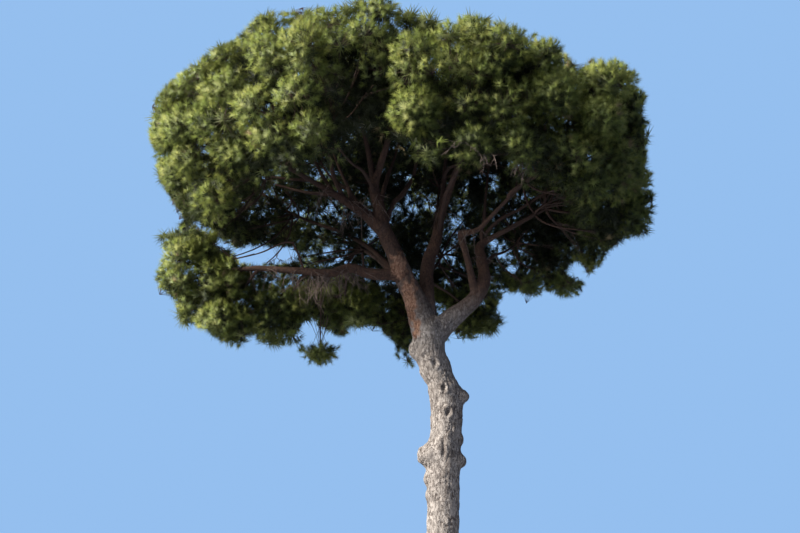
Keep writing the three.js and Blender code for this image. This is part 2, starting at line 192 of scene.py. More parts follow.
def reachOf(mass, ways):
    # how far a mass reaches in each direction, and whether a wall holds it back
    ways = np.atleast_2d(ways)
    flat = np.hypot(ways[:, 0], ways[:, 1]) / mass["wide"]
    high = np.where(mass["underCrown"] & (ways[:, 2] > 0), crown["head"], mass["high"])
    limits = [1 / np.hypot(flat, ways[:, 2] / high)]
    if mass["underCrown"]:
        limits.append(crownReach(mass["centre"], ways))
    bulge = np.exp((ways @ mass["bulges"].T - 1) / crown["bulgeWide"] ** 2).max(1)
    swell = 1 - crown["bulgeDepth"] + crown["bulgeDepth"] * bulge
    own = sum((limit * swell) ** -crown["softness"] for limit in limits)
    wall = np.zeros(len(ways))
    for normal, reach in mass["walls"]:
        slope = ways @ normal
        facing = slope > 1e-6
        wall += np.where(facing, (reach / np.where(facing, slope, 1)) ** -crown["softness"], 0)
    return (own + wall) ** (-1 / crown["softness"]), wall > own * crown["wallShare"]


def rootOf(mass, start):
    way = unit(np.asarray(start, float) - mass["centre"])
    return mass["centre"] + way * reachOf(mass, way)[0][0]


# Limbs: the main ones through points on the way, the side ones bowed over from a share of a parent
limbShape = {"step": 0.52, "bow": 0.1, "taper": 0.8, "tip": 0.042, "tipShare": 0.62,
             "uneven": 0.1, "unevenScale": 2.3, "flare": 0.3, "flareLength": 1.8}
mainLimbs = {
    "left_leader": ("shoulder_front", 0.262, 0.084, [
        (-0.29, 0, 7.56), (-0.59, -0.05, 8.55), (-0.85, -0.15, 9.08), (-1.08, -0.3, 9.65),
        (-1.36, -0.5, 10.22), (-1.43, -0.65, 10.64), (-1.54, -0.82, 11.08)]),
    "right_limb": ("rim_right", 0.24, 0.066, [
        (-0.19, 0, 7.7), (0.2, 0.02, 8.08), (0.5, 0.02, 8.32), (0.8, 0.03, 8.6), (1.04, 0.08, 9.08),
        (1.01, 0.2, 9.56), (0.98, 0.3, 10.0), (1.12, 0.35, 10.34), (1.93, 0.2, 10.88)]),
    "middle_limb": ("shoulder_right_front", 0.175, 0.076, [
        (-0.26, 0.06, 7.9), (-0.3, 0.3, 9.37), (-0.06, 0.4, 10.21), (0.06, 0.38, 10.85)]),
    "rear_limb": ("rim_rear_left", 0.185, 0.07, [
        (-0.29, 0.12, 7.8), (-0.52, 0.9, 8.9), (-1.15, 1.6, 9.8), (-1.65, 2.2, 10.3)]),
    "left_limb": ("rim_left_front", 0.15, 0.062, [
        (-1.39, -0.54, 10.18), (-1.82, -0.7, 10.5), (-2.28, -1.0, 10.71), (-2.73, -1.4, 10.7)]),
    "low_left_limb": ("low_left_outer", 0.135, 0.05, [
        (-0.9, -0.19, 9.14), (-1.59, -0.4, 9.08), (-2.09, -0.6, 9.16), (-2.53, -0.8, 8.98),
        (-3.21, -0.9, 9.0), (-4.1, -0.96, 9.04)]),
    "crooked_limb_rise": (None, 0.092, 0.072, [
        (0.83, 0.04, 8.68), (0.7, -0.18, 9.21), (0.57, -0.4, 9.66), (0.45, -0.59, 9.93)]),
    "crooked_limb_reach": ("rim_right_front", 0.076, 0.046, [
        (0.45, -0.56, 9.995), (0.66, -0.8, 9.96), (0.88, -1.0, 9.99), (1.13, -1.2, 10.18),
        (1.46, -1.5, 10.33), (1.53, -1.62, 10.56)]),
    "arched_twig_rise": (None, 0.044, 0.034, [
        (-3.12, -0.9, 8.99), (-3.23, -0.98, 9.33), (-3.37, -1.0, 9.6)]),
    "arched_twig_fall": (None, 0.036, 0.02, [
        (-3.35, -1.0, 9.64), (-3.61, -1.01, 9.64), (-4.01, -1.01, 9.43), (-4.29, -0.99, 9.35)]),
    "hanging_twig": ("hanging_tuft", 0.022, 0.014, [
        (-2.7, -0.83, 8.985), (-2.74, -0.6, 8.5), (-2.77, -0.15, 8.05), (-2.78, -0.02, 7.8)])}
sideLimbs = [
    ("crown_top", "left_leader", 0.7, 0.062), ("rim_front_left", "left_leader", 0.8, 0.05),
    ("shoulder_left_front", "left_limb", 0.45, 0.066), ("shoulder_left_rear", "left_limb", 0.3, 0.054),
    ("rim_left", "left_limb", 0.55, 0.052), ("rim_front_right", "middle_limb", 0.55, 0.052),
    ("shoulder_right", "right_limb", 0.74, 0.056), ("rim_right_rear", "right_limb", 0.66, 0.054),
    ("rim_rear_right", "rear_limb", 0.3, 0.078), ("shoulder_rear", "rear_limb", 0.5, 0.066),
    ("shoulder_right_rear", "middle_limb", 0.5, 0.064), ("rim_left_rear", "rear_limb", 0.42, 0.07),
    ("low_left_inner", "low_left_limb", 0.62, 0.046), ("low_left_lower", "low_left_limb", 0.84, 0.04),
    ("low_rear_left", "low_left_limb", 0.36, 0.042), ("low_rear_middle", "rear_limb", 0.26, 0.04),
    ("low_rear_right", "rim_rear_right_limb", 0.3, 0.04)]
limbs = {}


def addLimb(name, points, foot, tip):
    limbs[name] = {"points": np.array(points, float), "foot": foot, "tip": tip}
    return limbs[name]


def limbRadius(limb, share):
    return limb["tip"] + (limb["foot"] - limb["tip"]) * (1 - share) ** limbShape["taper"]


for name, (to, foot, tip, via) in mainLimbs.items():
    points = [np.array(p, float) for p in via]
    mass = masses.get(to)
    while mass and (np.linalg.norm(rootOf(mass, points[-1]) - mass["centre"])
                    > np.linalg.norm(points[-1] - mass["centre"]) - limbShape["step"] / 2):
        points.pop()
    if mass:
        points.append(rootOf(mass, points[-1]))
    limb = addLimb(name, points, foot, tip)
    if mass:
        mass["bough"] = limb
for to, parent, share, foot in sideLimbs:
    start = curveAt(limbs[parent]["points"], share)[0]
    end = rootOf(masses[to], start)
    rise = np.linalg.norm(end - start) * limbShape["bow"]
    points = [start + (end - start) * k / 3 + np.array([0, 0, rise * math.sin(k / 3 * math.pi)])
              for k in range(4)]
    tip = min(limbShape["tip"], foot * limbShape["tipShare"])
    masses[to]["bough"] = addLimb(to + "_limb", points, foot, tip)
print("spaces and limbs:", len(masses), "masses,", len(limbs), "limbs")


# Making of pieces
def newObject(name, data):
    made = bpy.data.objects.new(name, data)
    bpy.context.scene.collection.objects.link(made)
    return made


def newPiece(name, mesh, material, nodes):
    piece = newObject(name, mesh)
    mesh.materials.append(material)
    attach(piece, "root")
    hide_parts(*nodes)


def meshOf(bm, name):
    mesh = bpy.data.meshes.new(name)
    bm.to_mesh(mesh)
    bm.free()
    return mesh


def meshFromArrays(name, vertices, faces, smooth=False):
    mesh = bpy.data.meshes.new(name)
    sides = faces.shape[1]
    mesh.vertices.add(len(vertices))
    mesh.vertices.foreach_set("co", np.ascontiguousarray(vertices, np.float32).ravel())
    mesh.loops.add(faces.size)
    mesh.loops.foreach_set("vertex_index", np.ascontiguousarray(faces, np.int32).ravel())
    mesh.polygons.add(len(faces))
    mesh.polygons.foreach_set("loop_start", np.arange(len(faces), dtype=np.int32) * sides)
    mesh.update(calc_edges=True)
    mesh.polygons.foreach_set("use_smooth", np.full(len(faces), smooth))
    mesh.update()
    return mesh


def floatAttribute(mesh, name, values):
    attribute = mesh.attributes.new(name, "FLOAT", "POINT")
    attribute.data.foreach_set("value", np.ascontiguousarray(values, np.float32))


def ringMatrix(centre, across, side, tangent, radius):
    columns = [Vector(across) * radius, Vector(side) * radius, Vector(tangent), Vector(centre)]
    matrix = Matrix.Identity(4)
    for c, column in enumerate(columns):
        for r in range(3):
            matrix[r][c] = column[r]
    return matrix


def sweepRing(bm, matrices, sides):
    # a closed round tube: one ring extruded from place to place, with both ends filled
    made = bmesh.ops.create_circle(bm, segments=sides, radius=1, matrix=matrices[0])["verts"]
    edges = list(dict.fromkeys(e for v in made for e in v.link_edges))
    first, everything = edges, list(made)
    for before, after in zip(matrices, matrices[1:]):
        grown = bmesh.ops.extrude_edge_only(bm, edges=edges)["geom"]
        verts = [g for g in grown if isinstance(g, bmesh.types.BMVert)]
        edges = [g for g in grown if isinstance(g, bmesh.types.BMEdge)]
        bmesh.ops.transform(bm, matrix=after @ before.inverted(), verts=verts)
        everything += verts
    for loop in (first, edges):
        bmesh.ops.contextual_create(bm, geom=loop)
    return everything


def sweepTube(bm, centres, radii, sides):
    tangents = unit(np.gradient(np.asarray(centres, float), axis=0))
    side = np.array([0.0, 1.0, 0.0]) if abs(tangents[0][1]) < 0.9 else np.array([1.0, 0.0, 0.0])
    matrices = []
    for centre, tangent, radius in zip(centres, tangents, radii):
        side = unit(side - tangent * (side @ tangent))
        matrices.append(ringMatrix(centre, np.cross(side, tangent), side, tangent, radius))
    return sweepRing(bm, matrices, sides)


# Trunk: its true taper, lean, root flare and knobs, then the bark's relief
trunk = {
    "fork": 8.15, "ringStep": 0.05, "lineStep": 0.06, "sides": 72,
    "line": [(0, 0), (2.0, -0.025), (3.3, 0), (4.3, 0.03), (5.0, 0.07), (6.0, 0.12), (6.45, 0.065),
             (6.9, -0.12), (7.35, -0.27), (7.75, -0.27), (8.15, -0.22)],
    "radius": [(0, 0.5), (0.25, 0.44), (0.7, 0.398), (1.5, 0.372), (3.3, 0.35), (5.0, 0.35),
               (6.5, 0.362), (7.4, 0.372), (7.8, 0.372), (8.0, 0.335), (8.15, 0.215)],
    "lobes": 5, "lobeOut": 0.12, "lobeFade": 0.42, "lobeTurn": 40, "knobSpread": 1.1, "knobPower": 1.5,
    "knobs": [(6.3, 0, 0.19, 0.135, 30), (4.96, 182, 0.25, 0.23, 38), (4.83, 2, 0.125, 0.12, 32),
              (5.3, 5, 0.06, 0.11, 30), (4.45, 176, 0.1, 0.15, 30), (4.08, 188, 0.05, 0.11, 30),
              (7.37, 180, 0.095, 0.16, 36), (5.15, 262, 0.07, 0.26, 26), (3.95, 75, 0.12, 0.17, 34),
              (5.7, 100, 0.15, 0.15, 30)]}
bark = {
    "voxel": 0.022, "smoothFrom": 7.7, "smoothRounds": 6, "limbStep": 0.05, "limbSides": 28,
    "plateWide": 0.085, "plateLong": 2.4, "plateApart": 0.85, "fullAt": 0.34, "warp": 0.014,
    "warpScale": 9, "fissure": 0.018, "depth": 0.014, "limbDepth": 0.06, "bumps": 0.05,
    "bumpScale": 5.5, "ripple": 0.028, "rippleScale": (15, 15, 6), "crackScale": 3.3,
    "oldBelow": 7.7, "youngAbove": 8.95, "thick": (0.17, 0.32), "thickAge": 0.6, "plateRise": 0.75,
    "plateSpread": 0.5, "sunk": 0.7, "footFade": 0.05, "plateSeeds": 9000, "seed": 41}
knots = [(7.0, 268, 0.075), (6.42, 267, 0.06), (5.88, 273, 0.07), (4.95, 184, 0.08), (7.6, 215, 0.06),
         (3.9, 95, 0.08), (5.7, 62, 0.07)]  # height, azimuth, size
# knot rims and pits, with painted shade in the pits
knot = {"squash": 0.8, "rim": 0.03, "rimAt": 1.35, "rimWide": 0.6, "pit": 0.06, "pitWide": 0.7,
        "hollowShade": 0.9, "hollowShadeWide": 0.8}
rustySpots = [((-0.72, -0.2, 8.5), (0.2, 0.35, 0.6)), ((-0.98, -0.3, 9.3), (0.2, 0.3, 0.35)),
              ((-0.55, -0.1, 7.85), (0.12, 0.3, 0.28))]
# a painted sunlit fleck: pale colour on the crooked limb's end, where a shaft of sun falls through the
# crown
sunFleckSpots = [((1.47, -1.56, 10.42), (0.1, 0.14, 0.16)), ((1.53, -1.64, 10.6), (0.08, 0.14, 0.12))]
furrow = {"height": 5.12, "azimuth": 262, "tall": 0.26, "wide": 0.045, "deep": 0.05}


def rowsAt(rows, height):
    heights, values = np.array(rows, float).T
    k = np.clip(np.searchsorted(heights, height) - 1, 0, len(rows) - 2)
    s = np.clip((height - heights[k]) / (heights[k + 1] - heights[k]), 0, 1)
    return values[k] + (values[k + 1] - values[k]) * s * s * (3 - 2 * s)


def knobOut(height, azimuth):
    out = np.zeros_like(height)
    for at, turn, push, tall, wide in trunk["knobs"]:
        away = np.abs((azimuth - math.radians(turn) + math.pi) % (2 * math.pi) - math.pi)
        tall, wide = tall * trunk["knobSpread"], math.radians(wide * trunk["knobSpread"])
        near = ((height - at) / tall) ** 2 + (away / wide) ** 2
        out += push * np.exp(-near ** trunk["knobPower"])
    lobe = 0.5 + 0.5 * np.cos(trunk["lobes"] * (azimuth - math.radians(trunk["lobeTurn"])))
    return out + trunk["lobeOut"] * lobe * lobe * np.exp(-height / trunk["lobeFade"])


thickLimbs = ["left_leader", "right_limb", "middle_limb", "rear_limb", "left_limb", "low_left_limb",
              "crooked_limb_rise", "crooked_limb_reach"]


def limbLine(limb, step):
    # centres and radii along a limb, gently uneven, flared where it leaves its parent
    shares = np.linspace(0, 1, 60)
    length = np.linalg.norm(np.diff(curveAt(limb["points"], shares), axis=0), axis=1).sum()
    shares = np.linspace(0, 1, max(4, int(length / step)))
    centres = curveAt(limb["points"], shares)
    radii = limbRadius(limb, shares)
    scale, elsewhere = limbShape["unevenScale"], Vector((7, 3, 1))
    swell = np.array([noise.noise(Vector(c) * scale + elsewhere) for c in centres])
    fade = np.exp(-shares * length / (limb["foot"] * limbShape["flareLength"]))
    flare = limbShape["flare"] * limb["foot"] * fade
    return centres, radii * (1 + limbShape["uneven"] * swell) + flare


def addTrunk(bm):
    heights = np.append(np.arange(0, trunk["fork"], trunk["ringStep"]), trunk["fork"])
    places = zip(rowsAt(trunk["line"], heights), heights)
    everything = sweepRing(bm, [Matrix.Translation((x, 0, z)) for x, z in places], trunk["sides"])
    z = np.array([v.co.z for v in everything])
    middle = rowsAt(trunk["line"], z)
    turn = np.array([math.atan2(v.co.y, v.co.x - m) for v, m in zip(everything, middle)])
    out = rowsAt(trunk["radius"], z) + knobOut(z, turn)
    for v, m, a, r in zip(everything, middle, turn, out):
        v.co.x, v.co.y = m + math.cos(a) * r, math.sin(a) * r


def evaluatedMesh(obj, name):
    graph = bpy.context.evaluated_depsgraph_get()
    mesh = bpy.data.meshes.new_from_object(obj.evaluated_get(graph))
    mesh.name = name
    bpy.data.objects.remove(obj)
    return mesh


def mergedWood():
    # the trunk and the thick limbs as one closed skin with soft crotches
    bm = bmesh.new()
    addTrunk(bm)
    for name in thickLimbs:
        sweepTube(bm, *limbLine(limbs[name], bark["limbStep"]), bark["limbSides"])
    bmesh.ops.recalc_face_normals(bm, faces=bm.faces)
    form = newObject("wood_form", meshOf(bm, "wood_form"))
    remesh = form.modifiers.new("one skin", "REMESH")
    remesh.mode, remesh.voxel_size, remesh.adaptivity = "VOXEL", bark["voxel"], 0
    mesh = evaluatedMesh(form, "wood")
    bm = bmesh.new()
    bm.from_mesh(mesh)
    for rounds, lowest, factor in ((bark["smoothRounds"], bark["smoothFrom"], 0.5), (2, 0.03, 0.4)):
        for _ in range(rounds):
            soft = [v for v in bm.verts if v.co.z > lowest]
            bmesh.ops.smooth_vert(bm, verts=soft, factor=factor, use_axis_x=True, use_axis_y=True,
                                  use_axis_z=True)
    bm.to_mesh(mesh)
    bm.free()
    return mesh


def arrayOf(mesh, what, size):
    values = np.zeros(len(mesh.vertices) * size, np.float32)
    mesh.vertices.foreach_get(what, values)
    return values.reshape(-1, size).astype(float)


def woodLines():
    # points along the trunk and limbs with their direction and radius
    heights = np.arange(0, trunk["fork"], trunk["lineStep"])
    centres = [np.column_stack([rowsAt(trunk["line"], heights), heights * 0, heights])]
    radii = [rowsAt(trunk["radius"], heights)]
    for name in thickLimbs:
        line, radius = limbLine(limbs[name], bark["limbStep"])
        centres.append(line)
        radii.append(radius)
    tangents = [unit(np.gradient(c, axis=0)) for c in centres]
    return np.vstack(centres), np.vstack(tangents), np.concatenate(radii)


def plateCracks(points, tangents, radii, random):
    # how near each point lies to a fissure, and the tone of its plate
    wide = bark["plateWide"] * np.clip(radii / bark["fullAt"], 0.35, 1) ** 0.6
    chosen = random.choice(len(points), bark["plateSeeds"], replace=False,
                           p=(wide ** -2) / (wide ** -2).sum())
    kept = kdtree.KDTree(len(chosen))
    for i in chosen:
        kept.insert(points[i], int(i))
    kept.balance()
    dropped, seeds = set(), []
    for i in chosen:
        if int(i) in dropped:
            continue
        seeds.append(int(i))
        for _, j, _ in kept.find_range(points[i], wide[i] * bark["plateApart"]):
            dropped.add(j)
    seedPoints, tone = points[seeds], random.random(len(seeds))
    tree = treeOf(seedPoints)
    warp = np.array([noise.noise_vector(Vector(p) * bark["warpScale"]) for p in points])
    warped = points + warp * bark["warp"]
    near = np.array([[k for _, k, _ in tree.find_n(p, 10)] for p in warped])
    apart = warped[:, None, :] - seedPoints[near]
    along = (apart * tangents[:, None, :]).sum(2)
    across = np.maximum((apart ** 2).sum(2) - along ** 2, 0)
    distance = np.sqrt(across + (along / bark["plateLong"]) ** 2)
    order = np.argsort(distance, axis=1)
    first = np.take_along_axis(distance, order[:, :1], 1)[:, 0]
    second = np.take_along_axis(distance, order[:, 1:2], 1)[:, 0]
    nearest = np.take_along_axis(near, order[:, :1], 1)[:, 0]
    gape = bark["fissure"] * np.clip(radii / bark["fullAt"], 0.4, 1)
    return 1 - smoothStep(0.1, 1.4, (second - first) / gape), tone[nearest]


def knotDents(points):
    # hollows of old knots and one furrow on the trunk: push along the normal, and painted shade in the
    # hollows
    middle = rowsAt(trunk["line"], points[:, 2])
    turn = np.arctan2(points[:, 1], points[:, 0] - middle)
    radius = np.hypot(points[:, 1], points[:, 0] - middle)
    push, hollowShade = np.zeros(len(points)), np.zeros(len(points))
    for height, azimuth, size in knots:
        away = ((turn - math.radians(azimuth) + math.pi) % (2 * math.pi) - math.pi) * radius
        distance = np.hypot(away, (points[:, 2] - height) * knot["squash"])
        rimAway = (distance - size * knot["rimAt"]) / (size * knot["rimWide"])
        push += knot["rim"] * np.exp(-rimAway ** 2)
        push -= knot["pit"] * np.exp(-(distance / (size * knot["pitWide"])) ** 2)
        hollowShade = np.maximum(hollowShade, knot["hollowShade"] * np.exp(-(distance / (size * knot["hollowShadeWide"])) ** 2))
    away = ((turn - math.radians(furrow["azimuth"]) + math.pi) % (2 * math.pi) - math.pi) * radius
    above = (points[:, 2] - furrow["height"]) / furrow["tall"]
    shape = np.exp(-(away / furrow["wide"]) ** 2 - above ** 4)
    return push - furrow["deep"] * shape, np.maximum(hollowShade, shape)


def spotMask(points, spots):
    # uneven patches round a few places
    mask = np.zeros(len(points))
    ragged = noiseAt(points, 9) * 0.5
    for at, radii in spots:
        away = np.linalg.norm((points - np.array(at)) / np.array(radii), axis=1) + ragged
        mask = np.maximum(mask, smoothStep(1.15, 0.65, away))
    return mask


def barkRelief(mesh):
    points, normals = arrayOf(mesh, "co", 3), arrayOf(mesh, "normal", 3)
    lines, tangents, radii = woodLines()
    tree = treeOf(lines)
    owner = np.array([tree.find(p)[1] for p in points])
    tangents, radii = tangents[owner], radii[owner]
    random = np.random.default_rng(bark["seed"])
    crack, tone = plateCracks(points, tangents, radii, random)
    dent, hollowShade = knotDents(points)
    onTrunk = points[:, 2] < trunk["fork"]
    dent, hollowShade = np.where(onTrunk, dent, 0), np.where(onTrunk, hollowShade, 0)
    age = 1 - smoothStep(bark["oldBelow"], bark["youngAbove"], points[:, 2])
    age = np.maximum(age, smoothStep(*bark["thick"], radii) * bark["thickAge"])
    crack *= smoothStep(-0.2, 0.3, noiseAt(points, bark["crackScale"]))
    bumps = noiseAt(points, bark["bumpScale"])
    ripple = noiseAt(points * bark["rippleScale"], 1)
    depth = np.minimum(bark["depth"], radii * bark["limbDepth"])
    raised = bark["plateRise"] + bark["plateSpread"] * tone
    push = depth * ((1 - crack) * raised - bark["sunk"]) + dent
    push += (bumps * bark["bumps"] + ripple * bark["ripple"]) * radii
    push *= smoothStep(0.0, bark["footFade"], points[:, 2])
    moved = points + normals * push[:, None]
    moved[:, 2] = np.maximum(moved[:, 2], 0)
    mesh.vertices.foreach_set("co", moved.astype(np.float32).ravel())
    # fissures keep their own dark colour; the knot pits and the furrow take it as painted shade
    floatAttribute(mesh, "crack", np.maximum(crack, hollowShade))
    floatAttribute(mesh, "tone", tone)
    floatAttribute(mesh, "age", age)
    floatAttribute(mesh, "flush", spotMask(points, rustySpots))
    # where the painted sunlit fleck lies
    floatAttribute(mesh, "sunFleck", spotMask(points, sunFleckSpots))
    mesh.polygons.foreach_set("use_smooth", np.ones(len(mesh.polygons), bool))
    mesh.update()


def halfOf(mesh, name, height, keepBelow):
    # the part of a closed skin below or above a level cut, closed again with a cap
    bm = bmesh.new()
    bm.from_mesh(mesh)
    geometry = bm.verts[:] + bm.edges[:] + bm.faces[:]
    cut = bmesh.ops.bisect_plane(bm, geom=geometry, plane_co=(0, 0, height), plane_no=(0, 0, 1),
                                 clear_outer=keepBelow, clear_inner=not keepBelow)["geom_cut"]
    edges = [g for g in cut if isinstance(g, bmesh.types.BMEdge) and g.is_boundary]
    bmesh.ops.holes_fill(bm, edges=edges, sides=0)
    return meshOf(bm, name)


# Shader groups and materials
def newGroup(name, inputs, outputs):
    group = bpy.data.node_groups.new(name, "ShaderNodeTree")
    for socketName, kind, value in inputs:
        socket = group.interface.new_socket(socketName, in_out="INPUT", socket_type="NodeSocket" + kind)
        if value is not None:
            socket.default_value = value
    for socketName, kind in outputs:
        group.interface.new_socket(socketName, in_out="OUTPUT", socket_type="NodeSocket" + kind)
    nodes = group.nodes
    return group, nodes.new("NodeGroupInput"), nodes.new("NodeGroupOutput")


def addNode(tree, kind, values=(), **settings):
    # a new node, with its settings, and with each named input linked to a socket or set to a value
    node = tree.nodes.new("ShaderNode" + kind)
    for key, value in settings.items():
        setattr(node, key, value)
    for socket, value in values:
        target = node.inputs[socket]
        if isinstance(value, bpy.types.NodeSocket):
            tree.links.new(value, target)
        else:
            target.default_value = value
    return node


def mixColours(tree, factor, first, second):
    return addNode(tree, "Mix", [(0, factor), (6, first), (7, second)], data_type="RGBA").outputs[2]


def math2(tree, operation, a, b=0.0):
    return addNode(tree, "Math", [(0, a), (1, b)], operation=operation).outputs[0]


def stretched(tree, position, low, high, toLow=0.0, toHigh=1.0):
    node = addNode(tree, "MapRange", [(0, position), (1, low), (2, high), (3, toLow), (4, toHigh)],
                   interpolation_type="SMOOTHSTEP")
    return node.outputs[0]


def barkMottleGroup():
    # colour patches, fine flakes and a height for bark, from a place and a plate's tone
    group, given, out = newGroup(
        "barkMottle",
        [("Place", "Vector", None), ("Tone", "Float", 0.5), ("Crack", "Float", 0.0),
         ("Pale", "Color", (0.5, 0.43, 0.36, 1)), ("Deep", "Color", (0.3, 0.23, 0.19, 1)),
         ("Fissure", "Color", (0.05, 0.03, 0.02, 1)), ("Fine", "Float", 30.0)],
        [("Color", "Color"), ("Height", "Float"), ("Roughness", "Float")])
    place, fine = given.outputs["Place"], given.outputs["Fine"]
    wander = addNode(group, "TexNoise", [("Vector", place), ("Scale", 11.0), ("Detail", 2)])
    offset = addNode(group, "VectorMath", [(0, wander.outputs["Color"]), (1, (0.07, 0.07, 0.07))],
                     operation="MULTIPLY").outputs[0]
    warped = addNode(group, "VectorMath", [(0, place), (1, offset)], operation="ADD").outputs[0]
    squash = addNode(group, "Mapping", [("Vector", warped), ("Scale", (1, 1, 0.45))]).outputs[0]
    drawn = addNode(group, "Mapping", [("Vector", warped), ("Scale", (1, 1, 0.22))]).outputs[0]
    patches = addNode(group, "TexNoise", [("Vector", place), ("Scale", 2.4), ("Detail", 3)]).outputs[0]
    flakes = addNode(group, "TexNoise", [("Vector", squash), ("Scale", fine), ("Detail", 5),
                                         ("Roughness", 0.75)]).outputs[0]
    grains = addNode(group, "TexNoise", [("Vector", squash), ("Scale", math2(group, "MULTIPLY", fine, 2.4)),
                                         ("Detail", 2)]).outputs[0]
    lines = addNode(group, "TexNoise", [("Vector", drawn), ("Scale", math2(group, "MULTIPLY", fine, 0.5)),
                                        ("Detail", 3), ("Roughness", 0.6)]).outputs[0]
    scales = addNode(group, "TexVoronoi", [("Vector", squash),
                                           ("Scale", math2(group, "MULTIPLY", fine, 0.8))])
    scaleTone = addNode(group, "SeparateColor", [(0, scales.outputs["Color"])]).outputs[0]
    blend = math2(group, "ADD", math2(group, "MULTIPLY", given.outputs["Tone"], 0.22),
                  math2(group, "MULTIPLY", scaleTone, 0.4))
    blend = math2(group, "ADD", blend, math2(group, "MULTIPLY", patches, 0.7))
    base = mixColours(group, stretched(group, blend, 0.4, 1.05), given.outputs["Pale"],
                      given.outputs["Deep"])
    flaked = mixColours(group, stretched(group, flakes, 0.43, 0.62, 0.0, 0.88), base,
                        given.outputs["Deep"])
    grained = mixColours(group, stretched(group, grains, 0.5, 0.72, 0.0, 0.5), flaked,
                         given.outputs["Deep"])
    away = math2(group, "ABSOLUTE", math2(group, "SUBTRACT", lines, 0.5))
    streak = math2(group, "MULTIPLY", stretched(group, away, 0.03, 0.006),
                   stretched(group, flakes, 0.4, 0.58))
    broken = math2(group, "MULTIPLY", given.outputs["Crack"], stretched(group, flakes, 0.38, 0.6, 0.1, 1.0))
    edge = math2(group, "MAXIMUM", broken, streak)
    final = mixColours(group, math2(group, "MULTIPLY", edge, 0.85), grained, given.outputs["Fissure"])
    height = math2(group, "ADD", flakes, math2(group, "MULTIPLY", grains, 0.4))
    height = math2(group, "SUBTRACT", height, math2(group, "MULTIPLY", edge, 0.7))
    group.links.new(final, out.inputs["Color"])
    group.links.new(height, out.inputs["Height"])
    group.links.new(stretched(group, flakes, 0.2, 0.8, 0.82, 0.97), out.inputs["Roughness"])
    return group


barkMottle = barkMottleGroup()


def newMaterial(name, roughness, specular=0.3):
    material = bpy.data.materials.new(name)
    material.use_nodes = True
    shader = material.node_tree.nodes["Principled BSDF"]
    shader.inputs["Roughness"].default_value = roughness
    shader.inputs["Specular IOR Level"].default_value = specular
    return material, material.node_tree, shader


def mottleNode(tree, place, tone, crack, pale, deep, fissure, fine):
    values = [("Place", place), ("Tone", tone), ("Crack", crack), ("Pale", pale), ("Deep", deep),
              ("Fissure", fissure), ("Fine", fine)]
    return addNode(tree, "Group", values, node_tree=barkMottle)


barkColours = {  # pale and deep parts, fissures, and the scale of the flakes
    "old": ((0.31, 0.273, 0.24, 1), (0.105, 0.088, 0.076, 1), (0.045, 0.032, 0.026, 1), 30.0),
    # red-brown bark of the upper limbs, darkened further as painted shade for the crown's shade over them
    "youngShaded": ((0.1, 0.053, 0.034, 1), (0.054, 0.031, 0.022, 1), (0.022, 0.015, 0.011, 1), 38.0),
    "rusty": ((0.34, 0.195, 0.125, 1), (0.13, 0.06, 0.035, 1), (0.04, 0.02, 0.013, 1), 34.0)}
# pale colour of the painted sunlit fleck
sunFleckColour = (0.8, 0.66, 0.52, 1)


def linkBark(tree, shader, colour, mottle, strength, distance):
    tree.links.new(colour, shader.inputs["Base Color"])
    tree.links.new(mottle.outputs["Roughness"], shader.inputs["Roughness"])
    bump = addNode(tree, "Bump", [("Strength", strength), ("Distance", distance),
                                  ("Height", mottle.outputs["Height"])])
    tree.links.new(bump.outputs[0], shader.inputs["Normal"])


def oldBarkMaterial():
    # pale plates with dark fissures low down, red-brown flaking bark on the limbs, and a painted sunlit
    # fleck on one limb
    material, tree, shader = newMaterial("pine_bark", 0.9, 0.2)
    place = addNode(tree, "TexCoord").outputs["Object"]
    crack, tone, age, flush, sunFleck = (addNode(tree, "Attribute", attribute_name=name).outputs["Fac"]
                                     for name in ("crack", "tone", "age", "flush", "sunFleck"))
    old, youngShaded, rusty = (mottleNode(tree, place, tone, crack, *colours)
                         for colours in barkColours.values())
    colour = mixColours(tree, age, youngShaded.outputs["Color"], old.outputs["Color"])
    colour = mixColours(tree, flush, colour, rusty.outputs["Color"])
    # the painted sunlit fleck, laid over everything else
    colour = mixColours(tree, sunFleck, colour, sunFleckColour)
    linkBark(tree, shader, colour, old, 0.8, 0.02)
    return material


def twigBarkMaterial(name, pale, deep):
    material, tree, shader = newMaterial(name, 0.88, 0.25)
    place = addNode(tree, "TexCoord").outputs["Object"]
    node = mottleNode(tree, place, 0.5, 0.0, pale, deep, deep, 45.0)
    linkBark(tree, shader, node.outputs["Color"], node, 0.5, 0.01)
    return material


def needleMaterial(name, colour):
    # light also passes through the needles to their far side
    material, tree, shader = newMaterial(name, 0.5, 0.3)
    shader.inputs["Base Color"].default_value = (*colour, 1)
    far = addNode(tree, "BsdfTranslucent", [("Color", (*colour, 1))])
    both = addNode(tree, "MixShader", [(0, 0.5), (1, shader.outputs[0]), (2, far.outputs[0])])
    tree.links.new(both.outputs[0], tree.nodes["Material Output"].inputs["Surface"])
    return material


pineBark = oldBarkMaterial()
# browns of the thinner limbs and the twigs, darkened beyond their own bark as painted shade for the crown's
# shade
limbBark = twigBarkMaterial("limb_bark", (0.085, 0.046, 0.03, 1), (0.042, 0.025, 0.018, 1))
twigBark = twigBarkMaterial("twig_bark", (0.09, 0.055, 0.04, 1), (0.04, 0.027, 0.021, 1))
deadBark = twigBarkMaterial("dead_twig_bark", (0.2, 0.145, 0.115, 1), (0.1, 0.072, 0.06, 1))

wood = mergedWood()
print("wood skin:", len(wood.polygons), "faces")
barkRelief(wood)
lower, upper = (halfOf(wood, name, trunk["fork"], below)
                for name, below in (("trunk_bark", True), ("limb_bark", False)))
newPiece("trunk_bark", lower, pineBark, ["trunk"])
newPiece("limb_bark", upper, pineBark, thickLimbs)
bpy.data.meshes.remove(wood)
print("bark relief done")

